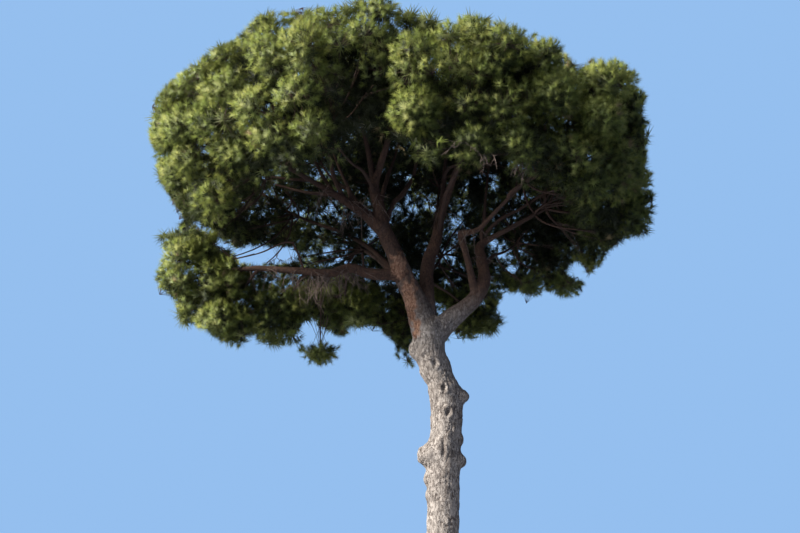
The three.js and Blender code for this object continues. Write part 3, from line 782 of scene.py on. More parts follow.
# Thin limbs: round, slightly uneven, each sunk in its parent
thinLimbs = [name for name in limbs if name not in thickLimbs]
thin = {"sides": 12, "step": 0.06, "lumps": 0.09, "lumpScale": 14, "sway": 1.2, "swayScale": 1.7,
        "swayMost": 0.05,
        "slim": {"arched_twig_rise": 0.62, "arched_twig_fall": 0.62, "hanging_twig": 0.7}}


def thinLimbMesh():
    bm = bmesh.new()
    for name in thinLimbs:
        centres, radii = limbLine(limbs[name], thin["step"])
        radii = radii * thin["slim"].get(name, 1)
        sway = np.array([noise.noise_vector(Vector(c) * thin["swayScale"]) for c in centres])
        ease = np.sin(np.linspace(0, math.pi, len(centres)))[:, None]
        most = np.minimum(radii, thin["swayMost"])[:, None]
        centres = centres + sway * ease * most * thin["sway"]
        for v in sweepTube(bm, centres, radii, thin["sides"]):
            place = v.co * thin["lumpScale"]
            lump = noise.noise(place) * thin["lumps"] * float(radii.mean())
            v.co += Vector(noise.noise_vector(place)) * abs(lump)
    bmesh.ops.recalc_face_normals(bm, faces=bm.faces)
    mesh = meshOf(bm, "thin_limbs")
    mesh.polygons.foreach_set("use_smooth", np.ones(len(mesh.polygons), bool))
    return mesh


newPiece("thin_limbs", thinLimbMesh(), limbBark, thinLimbs)
print("thin limbs:", len(thinLimbs))

# Clumps: domes of tufts spread over the masses, on lobes with creases between them
clump = {
    "apart": 0.4, "candidates": 30000, "radius": 0.33, "radiusSpread": 0.28, "smallMass": 0.6,
    "up": 0.4, "downUp": 0.4, "downFrom": -0.3, "wallDepth": 0.7, "lowApart": 0.85, "lowInset": 0.1,
    "lowWalled": 0.4, "facingIn": 0.1, "heartDepth": 0.45, "innerRise": 0.35, "underDrop": -0.55,
    "litFrom": (-2.6, -1.2), "openBack": 1.3, "openMargin": 0.12, "underBack": 0.75,
    "wideBack": 1.1, "wideApart": 1.35, "ownCrest": 0.65, "seed": 5}
bridge = {"candidates": 9000, "lowest": -0.22, "back": 0.22, "gap": 0.34}
lobe = {"apart": 0.95, "radius": 0.62, "crease": 0.62, "litCrease": 0.3, "lowCrease": 0.12, "out": 0.1,
        "tilt": 1.3, "edge": 0.3, "edgeFacing": (0.1, 0.5), "clearShare": 0.85, "frontShare": 1.15,
        "round": 0.7, "backShare": 0.6, "hollowEdge": (1.25, 0.6)}
frontLobes = [  # middle and radius of the swellings seen from the front, in the photo's pixels
    (168, 118, 20), (204, 112, 22), (176, 162, 20), (192, 188, 18), (212, 74, 24), (262, 36, 26),
    (240, 98, 20), (256, 136, 20), (292, 84, 24), (300, 30, 26), (310, 130, 20), (282, 162, 18),
    (226, 152, 20), (346, 26, 18), (372, 16, 16), (400, 46, 22), (385, 134, 16), (424, 28, 18),
    (452, 34, 18), (480, 36, 20), (508, 32, 20), (500, 58, 18), (534, 38, 16), (556, 50, 18),
    (560, 80, 24), (562, 108, 16), (610, 76, 26), (600, 112, 20), (640, 104, 14), (460, 86, 20),
    (520, 92, 20), (470, 150, 26), (530, 152, 26), (590, 150, 26), (632, 150, 20)]
upperLobes = [  # place and radius of those in the middle and along the top
    (-0.63, -5.6, 10.95, 0.45), (-1.5, -5.0, 13.45, 0.45), (-2.3, -4.9, 13.5, 0.4),
    (-0.6, -4.95, 13.4, 0.4), (4.12, -2.9, 12.78, 0.36)]
sight = {"from": 17, "to": 33, "step": 0.12, "skin": 0.06, "share": 0.97}
hollows = [  # place, radius and depth of the hollows between them, the deepest open to the crown's heart
    ((-1.85, -5.7, 11.95), 0.8, 0.8), ((-1.7, -5.6, 12.4), 0.5, 0.5), ((-1.85, -5.6, 11.25), 0.75, 1.0),
    ((-1.65, -5.2, 10.45), 0.85, 2.6), ((-1.15, -5.5, 11.4), 0.45, 0.8), ((0.45, -5.75, 11.3), 0.5, 0.3),
    ((1.0, -5.65, 11.9), 1.0, 0.5),
    ((1.5, -5.5, 11.6), 0.5, 0.5), ((2.2, -5.0, 12.0), 0.8, 0.5), ((1.9, -5.0, 13.0), 0.55, 0.6),
    ((2.75, -4.5, 12.0), 0.36, 0.6), ((2.75, -3.7, 13.0), 0.6, 0.6), ((-0.36, -5.7, 11.75), 0.36, 0.4),
    ((1.2, -5.1, 13.3), 0.5, 0.4)]
opening = [  # place and radius of the balls left clear, from the front hollow up to the leader
    ((-1.7, -5.6, 10.4), 0.72), ((-1.76, -4.6, 10.75), 0.78), ((-1.8, -3.6, 11.25), 0.72),
    ((-1.8, -2.6, 11.75), 0.62), ((-1.8, -1.8, 12.1), 0.5), ((-1.65, -5.5, 11.0), 0.5),
    ((-1.65, -4.5, 11.5), 0.45), ((-1.5, -4.6, 10.0), 0.8), ((-1.5, -3.4, 10.4), 0.7)]
seenFrom = {"eye": (-0.94, -25.0, 1.6), "pitch": 17.3, "focus": 1111.1, "middle": (400, 266.5),
            "lens": 50, "sensor": 36, "farthest": 300}
skyGaps = [  # strips that stay clear as the photo shows them: both ends and the radius, in its pixels
    ((194, 222), (212, 233), 2.5), ((218, 241), (236, 250), 3), ((244, 254), (288, 256), 8.5),
    ((146, 217), (169, 223), 11), ((147, 190), (160, 212), 12), ((143, 158), (149, 186), 8),
    ((386, 340), (392, 347), 5), ((372, 330), (378, 335), 4), ((654, 112), (649, 116), 5),
    ((352, 331), (376, 329), 4), ((322, 332), (328, 334), 4), ((653, 130), (652, 158), 4),
    ((492, 240), (495, 244), 3), ((509, 270), (517, 269), 3), ((325, 250), (331, 250), 3),
    ((140, 306), (160, 322), 12), ((160, 340), (186, 348), 18), ((204, 362), (282, 364), 16),
    ((251, 346), (251, 338), 4),
    ((309, 338), (317, 337), 6), ((330, 338), (341, 341), 4), ((573, 50), (576, 60), 6),
    ((643, 258), (632, 276), 14), ((612, 288), (600, 296), 13), ((579, 267), (572, 271), 5)]
outline = [  # corners of the crown's outline as seen from there, joined by a curve, with sky beyond it
    (345, 4), (370, -3), (397, 2), (405, 10), (424, 12), (440, 18), (480, 13), (530, 30), (557, 37),
    (566, 54), (580, 69), (592, 59), (612, 57), (637, 70), (647, 90), (641, 112), (650, 122), (647, 160),
    (657, 175), (656, 210), (648, 234), (618, 242), (593, 273), (577, 262), (569, 268), (575, 278),
    (586, 284), (573, 299), (548, 293), (535, 297), (516, 291), (502, 298), (497, 307), (504, 323),
    (483, 338), (463, 339), (449, 331), (453, 372), (420, 372), (393, 355), (385, 337), (378, 326),
    (342, 338), (325, 328), (303, 322), (296, 343), (272, 349), (253, 338), (235, 349), (200, 327),
    (180, 322), (173, 299), (155, 284), (161, 256), (163, 233), (184, 220), (163, 184), (149, 130),
    (166, 84), (216, 48), (238, 37), (249, 23), (266, 11), (287, 11), (310, 9)]
hangingTuft = ((321, 353), 25)  # place and reach in the pixels of the tuft that hangs outside it
hangingClumps = {  # places from the middle of the tuft's open top, each grown down and outward from there
    "middle": (-2.78, 0.0, 7.36), "radius": 0.19,
    "places": [(-0.5, 0.02, -0.02), (-0.32, -0.1, -0.18), (-0.1, 0.08, -0.27), (0.12, -0.08, -0.27),
               (0.33, 0.06, -0.17), (0.5, -0.03, -0.01), (-0.24, -0.16, -0.08), (0.24, 0.15, -0.08),
               (0.0, -0.22, -0.16), (0.0, 0.24, -0.14)]}
skirt = {"level": 10.0, "drop": 0.55, "front": -3.2, "back": -1.6}  # lowest foliage of the crown's front
ceiling = {  # its open underside
    "top": 12.15, "outer": 5.1, "inner": 2.5, "wave": 0.3, "waveScale": 0.8, "candidates": 6000,
    "lift": 0.1, "steepFrom": (1.8, 3.4), "steepTo": (4.4, 5.1), "steep": 0.9}
lumps = [  # swellings beside the masses' own: the mass, place, radii and number of places
    ("rim_front_right", (2.15, -4.4, 11.7), (0.6, 0.6, 0.65), 90),
    ("rim_right_front", (3.35, -3.85, 12.25), (0.62, 0.62, 0.55), 90),
    ("rim_right_front", (3.2, -3.95, 11.4), (0.52, 0.55, 0.5), 70),
    ("rim_right_front", (4.1, -2.9, 12.1), (0.5, 0.55, 0.5), 60),
    ("rim_front_right", (0.95, -4.9, 12.25), (0.5, 0.45, 0.5), 60),
    ("rim_front_right", (-0.62, -5.2, 11.0), (0.5, 0.5, 0.5), 60),
    ("rim_left_front", (-4.8, -3.2, 9.95), (0.4, 0.4, 0.25), 24),
    ("rim_front_right", (2.0, -4.8, 12.5), (0.4, 0.35, 0.25), 24),
    ("rim_right", (4.35, -0.6, 10.6), (0.5, 0.6, 0.65), 70),
    ("rim_front_left", (-3.8, -4.5, 13.25), (0.6, 0.4, 0.25), 34),
    ("rim_front_left", (-2.95, -4.7, 13.4), (0.5, 0.4, 0.2), 26),
    ("rim_front_left", (-1.35, -4.9, 13.4), (0.5, 0.4, 0.25), 34),
    ("rim_left_front", (-4.7, -4.0, 12.9), (0.4, 0.4, 0.25), 24),
    ("rim_left_front", (-5.95, -3.2, 12.25), (0.35, 0.35, 0.35), 26),
    ("rim_front_right", (0.05, -5.3, 12.65), (0.35, 0.3, 0.2), 18),
    ("rim_front_right", (1.15, -5.3, 12.55), (0.4, 0.35, 0.2), 20),
    ("rim_right_front", (3.9, -3.0, 12.95), (0.35, 0.3, 0.2), 18),
    ("rim_right_front", (4.35, -2.6, 11.5), (0.25, 0.3, 0.35), 20),
    ("rim_right", (4.85, -0.6, 10.75), (0.25, 0.35, 0.35), 20),
    ("rim_right", (4.65, -0.2, 10.2), (0.25, 0.3, 0.2), 14),
    ("rim_right", (3.75, 0.9, 9.75), (0.25, 0.3, 0.2), 14),
    ("rim_right_rear", (3.45, 1.8, 9.6), (0.25, 0.3, 0.15), 14),
    ("rim_right_rear", (2.2, 1.6, 9.25), (0.5, 0.35, 0.15), 22),
    ("rim_left_front", (-5.7, -3.4, 12.55), (0.3, 0.3, 0.2), 16),
    ("rim_left_front", (-5.15, -3.8, 12.6), (0.4, 0.35, 0.25), 22),
    ("rim_left_front", (-6.15, -3.1, 11.95), (0.25, 0.3, 0.3), 16),
    ("rim_front_right", (-0.75, -4.7, 13.2), (0.35, 0.35, 0.2), 18),
    ("low_rear_right", (1.5, 2.5, 9.3), (0.35, 0.3, 0.25), 26),
    ("low_rear_right", (0.55, 2.8, 8.5), (0.3, 0.3, 0.2), 14),
    ("low_left_outer", (-6.25, -1.2, 8.65), (0.2, 0.3, 0.25), 14),
    ("low_left_outer", (-5.75, -0.9, 8.1), (0.35, 0.35, 0.25), 22),
    ("low_left_lower", (-4.5, -1.0, 7.5), (0.4, 0.35, 0.2), 22),
    ("low_rear_middle", (-0.7, 2.6, 7.85), (0.25, 0.3, 0.2), 14),
    ("low_left_outer", (-4.75, -0.75, 8.75), (0.62, 0.6, 0.5), 60),
    ("low_left_outer", (-5.3, -0.85, 9.75), (0.4, 0.4, 0.3), 34),
    ("low_left_lower", (-4.45, -0.6, 8.1), (0.5, 0.5, 0.42), 44),
    ("low_left_inner", (-3.35, -0.1, 8.4), (0.5, 0.5, 0.36), 40),
    ("low_rear_left", (-3.2, 0.7, 8.75), (0.7, 0.7, 0.45), 50),
    ("low_rear_middle", (-1.5, 2.1, 8.6), (0.6, 0.6, 0.45), 44),
    ("low_left_lower", (-5.4, -0.8, 8.25), (0.35, 0.4, 0.4), 30),
    ("low_rear_right", (0.2, 3.0, 9.5), (0.5, 0.5, 0.35), 34),
    ("rim_right_rear", (3.3, 3.0, 9.95), (0.55, 0.5, 0.3), 40)]


def curveThrough(corners, steps=4):
    # a smooth closed curve through the corners
    here = np.array(corners, float)
    before, after, beyond = (np.roll(here, turn, axis=0) for turn in (1, -1, -2))
    rows = [here + (after - before) * s / 2 + (before - 2.5 * here + 2 * after - beyond / 2) * s ** 2
            + (1.5 * (here - after) + (beyond - before) / 2) * s ** 3 for s in np.arange(steps) / steps]
    return np.stack(rows, 1).reshape(-1, 2)


outlineCurve = curveThrough(outline)


def lobeRows():
    # place and radius of each front swelling, where the line of sight to it meets the first mass
    picked = np.array(frontLobes, float)
    across, down = ((picked[:, :2] - seenFrom["middle"]) / seenFrom["focus"]).T
    pitch = math.radians(seenFrom["pitch"])
    ways = unit(np.column_stack([across, math.cos(pitch) + down * math.sin(pitch),
                                 math.sin(pitch) - down * math.cos(pitch)]))
    steps = np.arange(sight["from"], sight["to"], sight["step"])
    line = np.array(seenFrom["eye"]) + ways[:, None] * steps[:, None]
    inside = np.zeros(line.shape[:2], bool)
    for mass in masses.values():
        apart = line - mass["centre"]
        reach = reachOf(mass, unit(apart).reshape(-1, 3))[0].reshape(inside.shape)
        inside |= np.linalg.norm(apart, axis=2) < reach + sight["skin"]
    first = inside.argmax(1)
    radii = picked[:, 2] * steps[first] * sight["share"] / seenFrom["focus"]
    found = np.column_stack([line[np.arange(len(first)), first], radii]).round(2)
    return np.vstack([found, upperLobes])


def inSkyGap(points):
    # whether points lie in the sky round the crown or in its gaps, as seen from the photo's place
    apart = np.asarray(points) - np.array(seenFrom["eye"])
    pitch = math.radians(seenFrom["pitch"])
    ahead = apart[:, 1] * math.cos(pitch) + apart[:, 2] * math.sin(pitch)
    above = apart[:, 2] * math.cos(pitch) - apart[:, 1] * math.sin(pitch)
    seen = np.column_stack([apart[:, 0], -above]) * (seenFrom["focus"] / ahead)[:, None]
    seen += np.array(seenFrom["middle"])
    across, down = seen[:, :1], seen[:, 1:]
    (x0, y0), (x1, y1) = outlineCurve.T, np.roll(outlineCurve, -1, axis=0).T
    passed = ((y0 > down) != (y1 > down)) & (across < x0 + (x1 - x0) * (down - y0) / (y1 - y0 + 1e-9))
    within = passed.sum(1) % 2 == 1
    clear = ~within & (np.linalg.norm(seen - hangingTuft[0], axis=1) > hangingTuft[1])
    for start, end, radius in skyGaps:
        start, along = np.array(start, float), np.subtract(end, start).astype(float)
        share = np.clip((seen - start) @ along / max(along @ along, 1e-9), 0, 1)
        clear |= np.linalg.norm(seen - start - share[:, None] * along, axis=1) < radius
    return clear


def skirtHeight(points):
    return skirt["level"] - skirt["drop"] * smoothStep(skirt["front"], skirt["back"], points[:, 1])


def ceilingHeight(points):
    # the leaves' underside rises from the skirt to the heart of the crown, where the limbs show
    reach = np.hypot(points[:, 0] - crown["x"], points[:, 1] - crown["y"])
    low = skirtHeight(points)
    flat = np.column_stack([points[:, :2], np.full(len(points), 3.0)])
    uneven = noiseAt(flat, ceiling["waveScale"]) * ceiling["wave"]
    inside = 1 - smoothStep(ceiling["inner"], ceiling["outer"], reach)
    return low + (ceiling["top"] - low + uneven) * inside


def ceilingPoints(random):
    reach = ceiling["outer"] * np.sqrt(random.random(ceiling["candidates"]))
    turn = random.random(ceiling["candidates"]) * 2 * math.pi
    at = np.column_stack([crown["x"] + reach * np.cos(turn), crown["y"] + reach * np.sin(turn), reach * 0])
    at[:, 2] = ceilingHeight(at) + ceiling["lift"]
    inward = np.column_stack([-np.cos(turn), -np.sin(turn), turn * 0])
    steep = smoothStep(*ceiling["steepFrom"], reach) * (1 - smoothStep(*ceiling["steepTo"], reach))
    ways = unit(np.array([0, 0, -1.0]) + inward * steep[:, None] * ceiling["steep"])
    return nearestMasses(at), at, ways


def nearestMasses(points):
    crownMasses = [m for m in masses.values() if m["underCrown"]]
    apart = np.array([np.linalg.norm(points - m["centre"], axis=1) / m["wide"] for m in crownMasses])
    return [crownMasses[k]["name"] for k in apart.argmin(0)]


def nearestLobe(points, places, radii):
    # share of its radius that each point lies from the nearest lobe, and the way from its middle
    apart = points[:, None, :] - places[None]
    share = np.linalg.norm(apart, axis=2) / radii[None]
    chosen = share.argmin(1)
    rows = np.arange(len(points))
    return share[rows, chosen], apart[rows, chosen] / radii[chosen][:, None]


def surfacePoints(random):
    # candidate clump places on the masses' outlines, with the way out and what kind of place it is
    names, points, outward, inner, under = [], [], [], [], []
    areas = {n: m["wide"] ** 2 + m["wide"] * m["high"] for n, m in masses.items()}
    total = sum(areas.values())
    for name, mass in masses.items():
        ways = unit(random.normal(size=(int(clump["candidates"] * areas[name] / total) + 12, 3)))
        reach, walled = reachOf(mass, ways)
        at = mass["centre"] + ways * reach[:, None]
        depth = crownDepth(at)
        if mass["underCrown"]:
            keep = ~walled | (depth > clump["wallDepth"])
            keep &= at[:, 2] > ceilingHeight(at) - ceiling["lift"]
        else:
            keep = ~walled | (random.random(len(ways)) < clump["lowWalled"])
        if name == "hanging_tuft":
            continue
        fromAxis = at[:, :2] - np.array([crown["x"], crown["y"]])
        flatWay = unit(fromAxis)
        facingIn = (ways[:, :2] * flatWay).sum(1) < clump["facingIn"]
        isInner = mass["underCrown"] & (facingIn | (depth < clump["heartDepth"]))
        isInner &= ways[:, 2] < clump["innerRise"]
        keep &= ~isInner
        # tufts that face down take the darker underside colours: painted shade
        isUnder = (ways[:, 2] < clump["underDrop"]) & ~isInner
        names += [name] * int(keep.sum())
        points.append(at[keep])
        outward.append(ways[keep])
        inner.append(isInner[keep])
        under.append(isUnder[keep])
    bridged, at, ways = bridgePoints(np.vstack(points), random)
    names += bridged
    ownFrom = len(names)
    for name, place, radii, count in lumps:
        found = unit(random.normal(size=(count, 3)))
        at, ways = np.vstack([at, np.array(place) + found * radii]), np.vstack([ways, found])
        names += [name] * count
    ownTo = len(names)
    below, over, down = ceilingPoints(random)
    names += below
    points, outward = np.vstack([*points, at, over]), np.vstack([*outward, ways, down])
    inner = np.concatenate([*inner, np.zeros(len(at), bool), np.ones(len(over), bool)])
    under = np.concatenate([*under, ways[:, 2] < clump["underDrop"], np.zeros(len(over), bool)])
    own = (np.arange(len(names)) >= ownFrom) & (np.arange(len(names)) < ownTo)
    return np.array(names), points, outward, inner, under, own


def bridgePoints(points, random):
    # places on the crown's outline where the masses leave a groove, so that its skin runs on
    ways = unit(random.normal(size=(bridge["candidates"], 3)))
    ways = ways[ways[:, 2] > bridge["lowest"]]
    middle = np.array([crown["x"], crown["y"], crown["level"]])
    at = middle + ways * (crownReach(middle, ways) - bridge["back"])[:, None]
    tree = treeOf(points)
    alone = np.array([tree.find(p)[2] > bridge["gap"] for p in at])
    at, ways = at[alone], ways[alone]
    return nearestMasses(at), at, ways


def lobed(points, outward, crease, random):
    # sets the points back into the creases between lobes, and turns their way out with the lobe
    front = lobeRows()
    away = nearestLobe(points, front[:, :3], front[:, 3])[0] * front[:, 3].mean()
    free = np.flatnonzero(away > lobe["apart"] * lobe["clearShare"])
    free = free[spacedOut(points[free], np.full(len(free), lobe["apart"]), random)]
    places = np.vstack([front[:, :3], points[free]])
    freeRadii = lobe["radius"] * (0.8 + 0.4 * random.random(len(free)))
    radii = np.concatenate([front[:, 3] * lobe["frontShare"], freeRadii])
    share, tilt = nearestLobe(points, places, radii)
    back = crease * np.clip(share ** 2 * lobe["round"], 0, 1)
    back = back - lobe["out"] * np.clip(1 - share ** 2, 0, 1)
    for at, radius, depth in hollows:
        away = np.linalg.norm(points - np.array(at), axis=1) / radius
        back = back + depth * smoothStep(*lobe["hollowEdge"], away)
    turned = unit(outward + tilt * lobe["tilt"] / np.maximum(share, 1)[:, None])
    crest = 1 - np.clip(share ** 2 * lobe["round"] + back * lobe["backShare"], 0, 1)
    return points - outward * back[:, None], turned, crest, back


def spacedOut(points, apart, random, first=None):
    # indices of points kept so that no two lie nearer than their spacing
    tree = treeOf(points)
    dropped, kept = np.zeros(len(points), bool), []
    order = random.permutation(len(points))
    if first is not None:
        order = np.concatenate([order[first[order]], order[~first[order]]])
    for i in order:
        if dropped[i]:
            continue
        kept.append(i)
        for _, j, _ in tree.find_range(points[i], apart[i]):
            dropped[j] = True
    return np.array(kept)


def growClumps():
    random = np.random.default_rng(clump["seed"])
    names, points, outward, inner, under, own = surfacePoints(random)
    high = np.array([masses[n]["underCrown"] for n in names])
    lit = 1 - smoothStep(*clump["litFrom"], points[:, 0])
    crease = lobe["crease"] + (lobe["litCrease"] - lobe["crease"]) * lit
    crease = np.where(high, crease, lobe["lowCrease"])
    facing = np.abs((outward * unit(points - np.array(seenFrom["eye"]))).sum(1))
    crease = crease * (lobe["edge"] + (1 - lobe["edge"]) * smoothStep(*lobe["edgeFacing"], facing))
    moved, turned, crest, back = lobed(points, outward, crease, random)
    free = own & high
    points = np.where(free[:, None], points, moved)
    turned = np.where(free[:, None], outward, turned)
    crest, back = np.where(free, clump["ownCrest"], crest), np.where(free, 0, back)
    points = points - outward * np.where(high, 0, clump["lowInset"])[:, None]
    kept = high & ~own
    points[:, 2] = np.where(kept, np.maximum(points[:, 2], skirtHeight(points)), points[:, 2])
    shut = back < clump["openBack"]
    for at, radius in opening:
        shut &= np.linalg.norm(points - np.array(at), axis=1) > radius + clump["openMargin"]
    names, points, outward, turned, crest, back, inner, under, high, own = (
        values[shut] for values in (names, points, outward, turned, crest, back, inner, under, high, own))
    # clumps set back into the hollows take the underside colours: painted shade in the hollows
    under |= back > clump["underBack"]
    apartHollow = np.where(back > clump["wideBack"], clump["wideApart"], 1)
    small = np.array([min(1, masses[n]["wide"] / clump["smallMass"]) for n in names])
    apart = clump["apart"] * small * apartHollow
    apart = apart * np.where(high, 1, clump["lowApart"])
    made = []
    for i in spacedOut(points, apart, random, own):
        radius = clump["radius"] * small[i] * (1 + clump["radiusSpread"] * (random.random() * 2 - 1))
        lift = clump["up"] * (1 if outward[i][2] > clump["downFrom"] else clump["downUp"])
        axis = unit(turned[i] + np.array([0, 0, lift]))
        made.append({"mass": names[i], "top": points[i], "axis": axis, "radius": radius,
                     "outward": turned[i], "crest": crest[i],
                     "inner": bool(inner[i]), "under": bool(under[i])})
    for place in hangingClumps["places"]:
        way = unit(np.array(place) * (1, 1, 0.8))
        made.append({"mass": "hanging_tuft", "top": np.array(hangingClumps["middle"]) + place,
                     "axis": way, "radius": hangingClumps["radius"], "outward": way, "crest": 0.5,
                     "inner": False, "under": False})
    return made


clumps = growClumps()
print("clumps:", len(clumps))

# Tufts: shoots on a clump's dome, each with its twig
tuft = {
    "perClump": 23, "cap": 105, "sink": 0.14, "tip": 0.2, "seenTip": 0.15, "proud": 0.16, "flatten": 0.85,
    "rise": 0.35, "shoot": 0.1, "filler": 0.12, "clearOfWood": 0.08, "countPower": 1.4,
    "innerShare": 0.75, "sway": 0.06, "turnSway": 0.2, "waySway": 0.12, "reach": 0.84,
    "fillerReach": 0.45, "reachSpread": 0.2, "lean": (1.3, 0.6), "seed": 17}


def growTufts():
    random = np.random.default_rng(tuft["seed"])
    lines, _, lineRadii = woodLines()
    tree = treeOf(lines)
    rows = []
    for number, c in enumerate(clumps):
        count = max(5, round(tuft["perClump"] * (c["radius"] / clump["radius"]) ** tuft["countPower"]))
        if c["inner"]:
            count = max(3, round(count * tuft["innerShare"]))
        axis = c["axis"]
        side = unit(np.cross(axis, (0.3, 0.9, 0.2)))
        other = np.cross(axis, side)
        hub = c["top"] - axis * (c["radius"] * tuft["flatten"] + tuft["sink"])
        c["hub"] = hub
        spin = random.random() * 2 * math.pi
        for k in range(count):
            z = 1 - (1 - math.cos(math.radians(tuft["cap"]))) * (k + 0.5) / count
            z = max(-1.0, min(1.0, z + random.normal() * tuft["sway"]))
            turn = spin + k * goldenAngle + random.normal() * tuft["turnSway"]
            flat = math.sqrt(1 - z * z)
            way = axis * z + (side * math.cos(turn) + other * math.sin(turn)) * flat
            filler = random.random() < tuft["filler"]
            reach = tuft["fillerReach"] if filler else tuft["reach"]
            reach = c["radius"] * (reach + tuft["reachSpread"] * random.random())
            place = hub + way * reach - axis * (way @ axis) * reach * (1 - tuft["flatten"])
            _, j, distance = tree.find(place)
            if distance < lineRadii[j] + tuft["clearOfWood"]:
                continue
            grown = unit(way + np.array([0, 0, tuft["rise"]]) + random.normal(size=3) * tuft["waySway"])
            end = place + grown * tuft["tip"]
            if ((end < boxLow - tuft["proud"]) | (end > boxHigh + tuft["proud"])).any():
                continue
            rows.append((number, place, grown, filler or c["inner"], c["under"],
                         unit(c["outward"] * tuft["lean"][0] + way * tuft["lean"][1])))
    places, ways = np.array([r[1] for r in rows]), np.array([r[2] for r in rows])
    shut = inSkyGap(places) | inSkyGap(places + ways * tuft["seenTip"])
    return [r for r, gap in zip(rows, shut) if not gap]


tufts = growTufts()
tuftPlaces = np.array([t[1] for t in tufts])
tuftWays = np.array([t[2] for t in tufts])
tuftNormals = np.array([t[5] for t in tufts])
print("tufts:", len(tufts))

# Boughs and twigs inside the crown
innerLimbs = [  # radius at the foot and tip, and the course, of limbs that go on through the crown
    (0.095, 0.035, [(-1.5, -0.76, 10.95), (-1.61, -1.0, 11.48), (-1.75, -1.3, 12.15), (-1.95, -1.6, 12.8)]),
    (0.06, 0.03, [(-2.2, -0.95, 10.68), (-2.46, -1.2, 11.15), (-2.54, -1.5, 11.59), (-2.7, -1.8, 12.2)]),
    (0.055, 0.025, [(-2.4, -0.95, 10.75), (-2.85, -0.6, 11.59), (-3.1, -0.5, 12.3)]),
    (0.05, 0.025, [(-2.5, -1.15, 10.75), (-3.17, -0.6, 11.03), (-3.9, -0.4, 11.3)]),
    (0.075, 0.035, [(-1.32, -0.42, 10.1), (-1.13, -0.5, 10.74), (-0.89, -0.4, 11.04), (-0.7, -0.3, 11.38),
                    (-0.58, -0.2, 11.75), (-0.5, -0.3, 12.4)]),
    (0.075, 0.035, [(0.05, 0.38, 10.8), (0.13, 0.1, 11.67), (0.2, 0.0, 12.4)]),
    (0.045, 0.022, [(0.12, 0.05, 11.65), (0.23, -0.3, 11.76), (0.52, -0.8, 11.66), (0.91, -1.5, 11.37),
                    (1.09, -2.0, 11.18)]),
    (0.02, 0.009, [(-4.24, -1.0, 9.37), (-4.5, -1.0, 9.3), (-4.74, -0.95, 9.29), (-4.95, -0.95, 9.45),
                   (-5.2, -0.95, 9.66)]),
    (0.05, 0.024, [(1.5, -1.58, 10.5), (1.55, -1.7, 10.61), (1.86, -2.0, 10.73), (2.04, -2.2, 10.77),
                   (2.5, -2.7, 11.0)]),
    (0.05, 0.026, [(1.1, 0.33, 10.3), (1.48, 0.3, 10.68), (1.93, 0.2, 10.88), (2.39, 0.1, 11.17),
                   (3.1, 0, 11.5)])]
twig = {"boughsPer": 7, "boughFoot": 0.03, "boughTip": 0.014, "branchFoot": 0.013, "branchTip": 0.006,
        "twigFoot": 0.006, "inward": 0.3, "hangFrom": (-2.76, -0.15, 8.1),
        "hangSpread": (0.16, 0.12, 0.1), "hangRadii": (0.008, 0.004), "sway": 0.06, "sag": 0.08,
        "centreShare": 0.6, "overlap": 0.05, "stemLead": 0.45, "stemTaper": 0.5, "reach": 0.82,
        "thinning": 0.62, "leadShare": 0.45, "leadBack": 0.12, "branchSway": 0.03, "rounds": 6,
        "boughSteps": 9, "branchSteps": 5, "lookSteps": 17, "seed": 23}


def tubeArrays(lines, radii, sides):
    # closed thin tubes along lines of equally many points: quads, and a fan at either end
    lines, radii = np.asarray(lines, float), np.asarray(radii, float)
    count, steps = lines.shape[:2]
    tangents = unit(np.gradient(lines, axis=1))
    side = unit(np.cross(tangents, np.array([0.31, 0.17, 0.94])))
    other = np.cross(tangents, side)
    angles = np.arange(sides) * 2 * math.pi / sides
    ring = (side[:, :, None, :] * np.cos(angles)[None, None, :, None]
            + other[:, :, None, :] * np.sin(angles)[None, None, :, None])
    verts = lines[:, :, None, :] + ring * radii[:, :, None, None]
    verts = verts.reshape(count, steps * sides, 3)
    ends = np.stack([lines[:, 0], lines[:, -1]], 1)
    verts = np.concatenate([verts, ends], 1)
    faces = []
    for s in range(steps - 1):
        for k in range(sides):
            a, b = s * sides + k, s * sides + (k + 1) % sides
            faces += [(a, b, b + sides), (a, b + sides, a + sides)]
    last, foot, top = (steps - 1) * sides, steps * sides, steps * sides + 1
    for k in range(sides):
        after = (k + 1) % sides
        faces += [(foot, after, k), (top, last + k, last + after)]
    faces = np.array(faces)[None] + (np.arange(count) * verts.shape[1])[:, None, None]
    return verts.reshape(-1, 3), faces.reshape(-1, 3)


def bent(start, lead, end, steps):
    t = np.linspace(0, 1, steps)[:, None]
    return (1 - t) ** 2 * start + 2 * t * (1 - t) * lead + t ** 2 * end


def innerLimbLines():
    steps = twig["boughSteps"]
    lines = [curveAt(points, np.linspace(0, 1, steps)) for _, _, points in innerLimbs]
    return lines, [np.linspace(foot, tip, steps) for foot, tip, _ in innerLimbs]


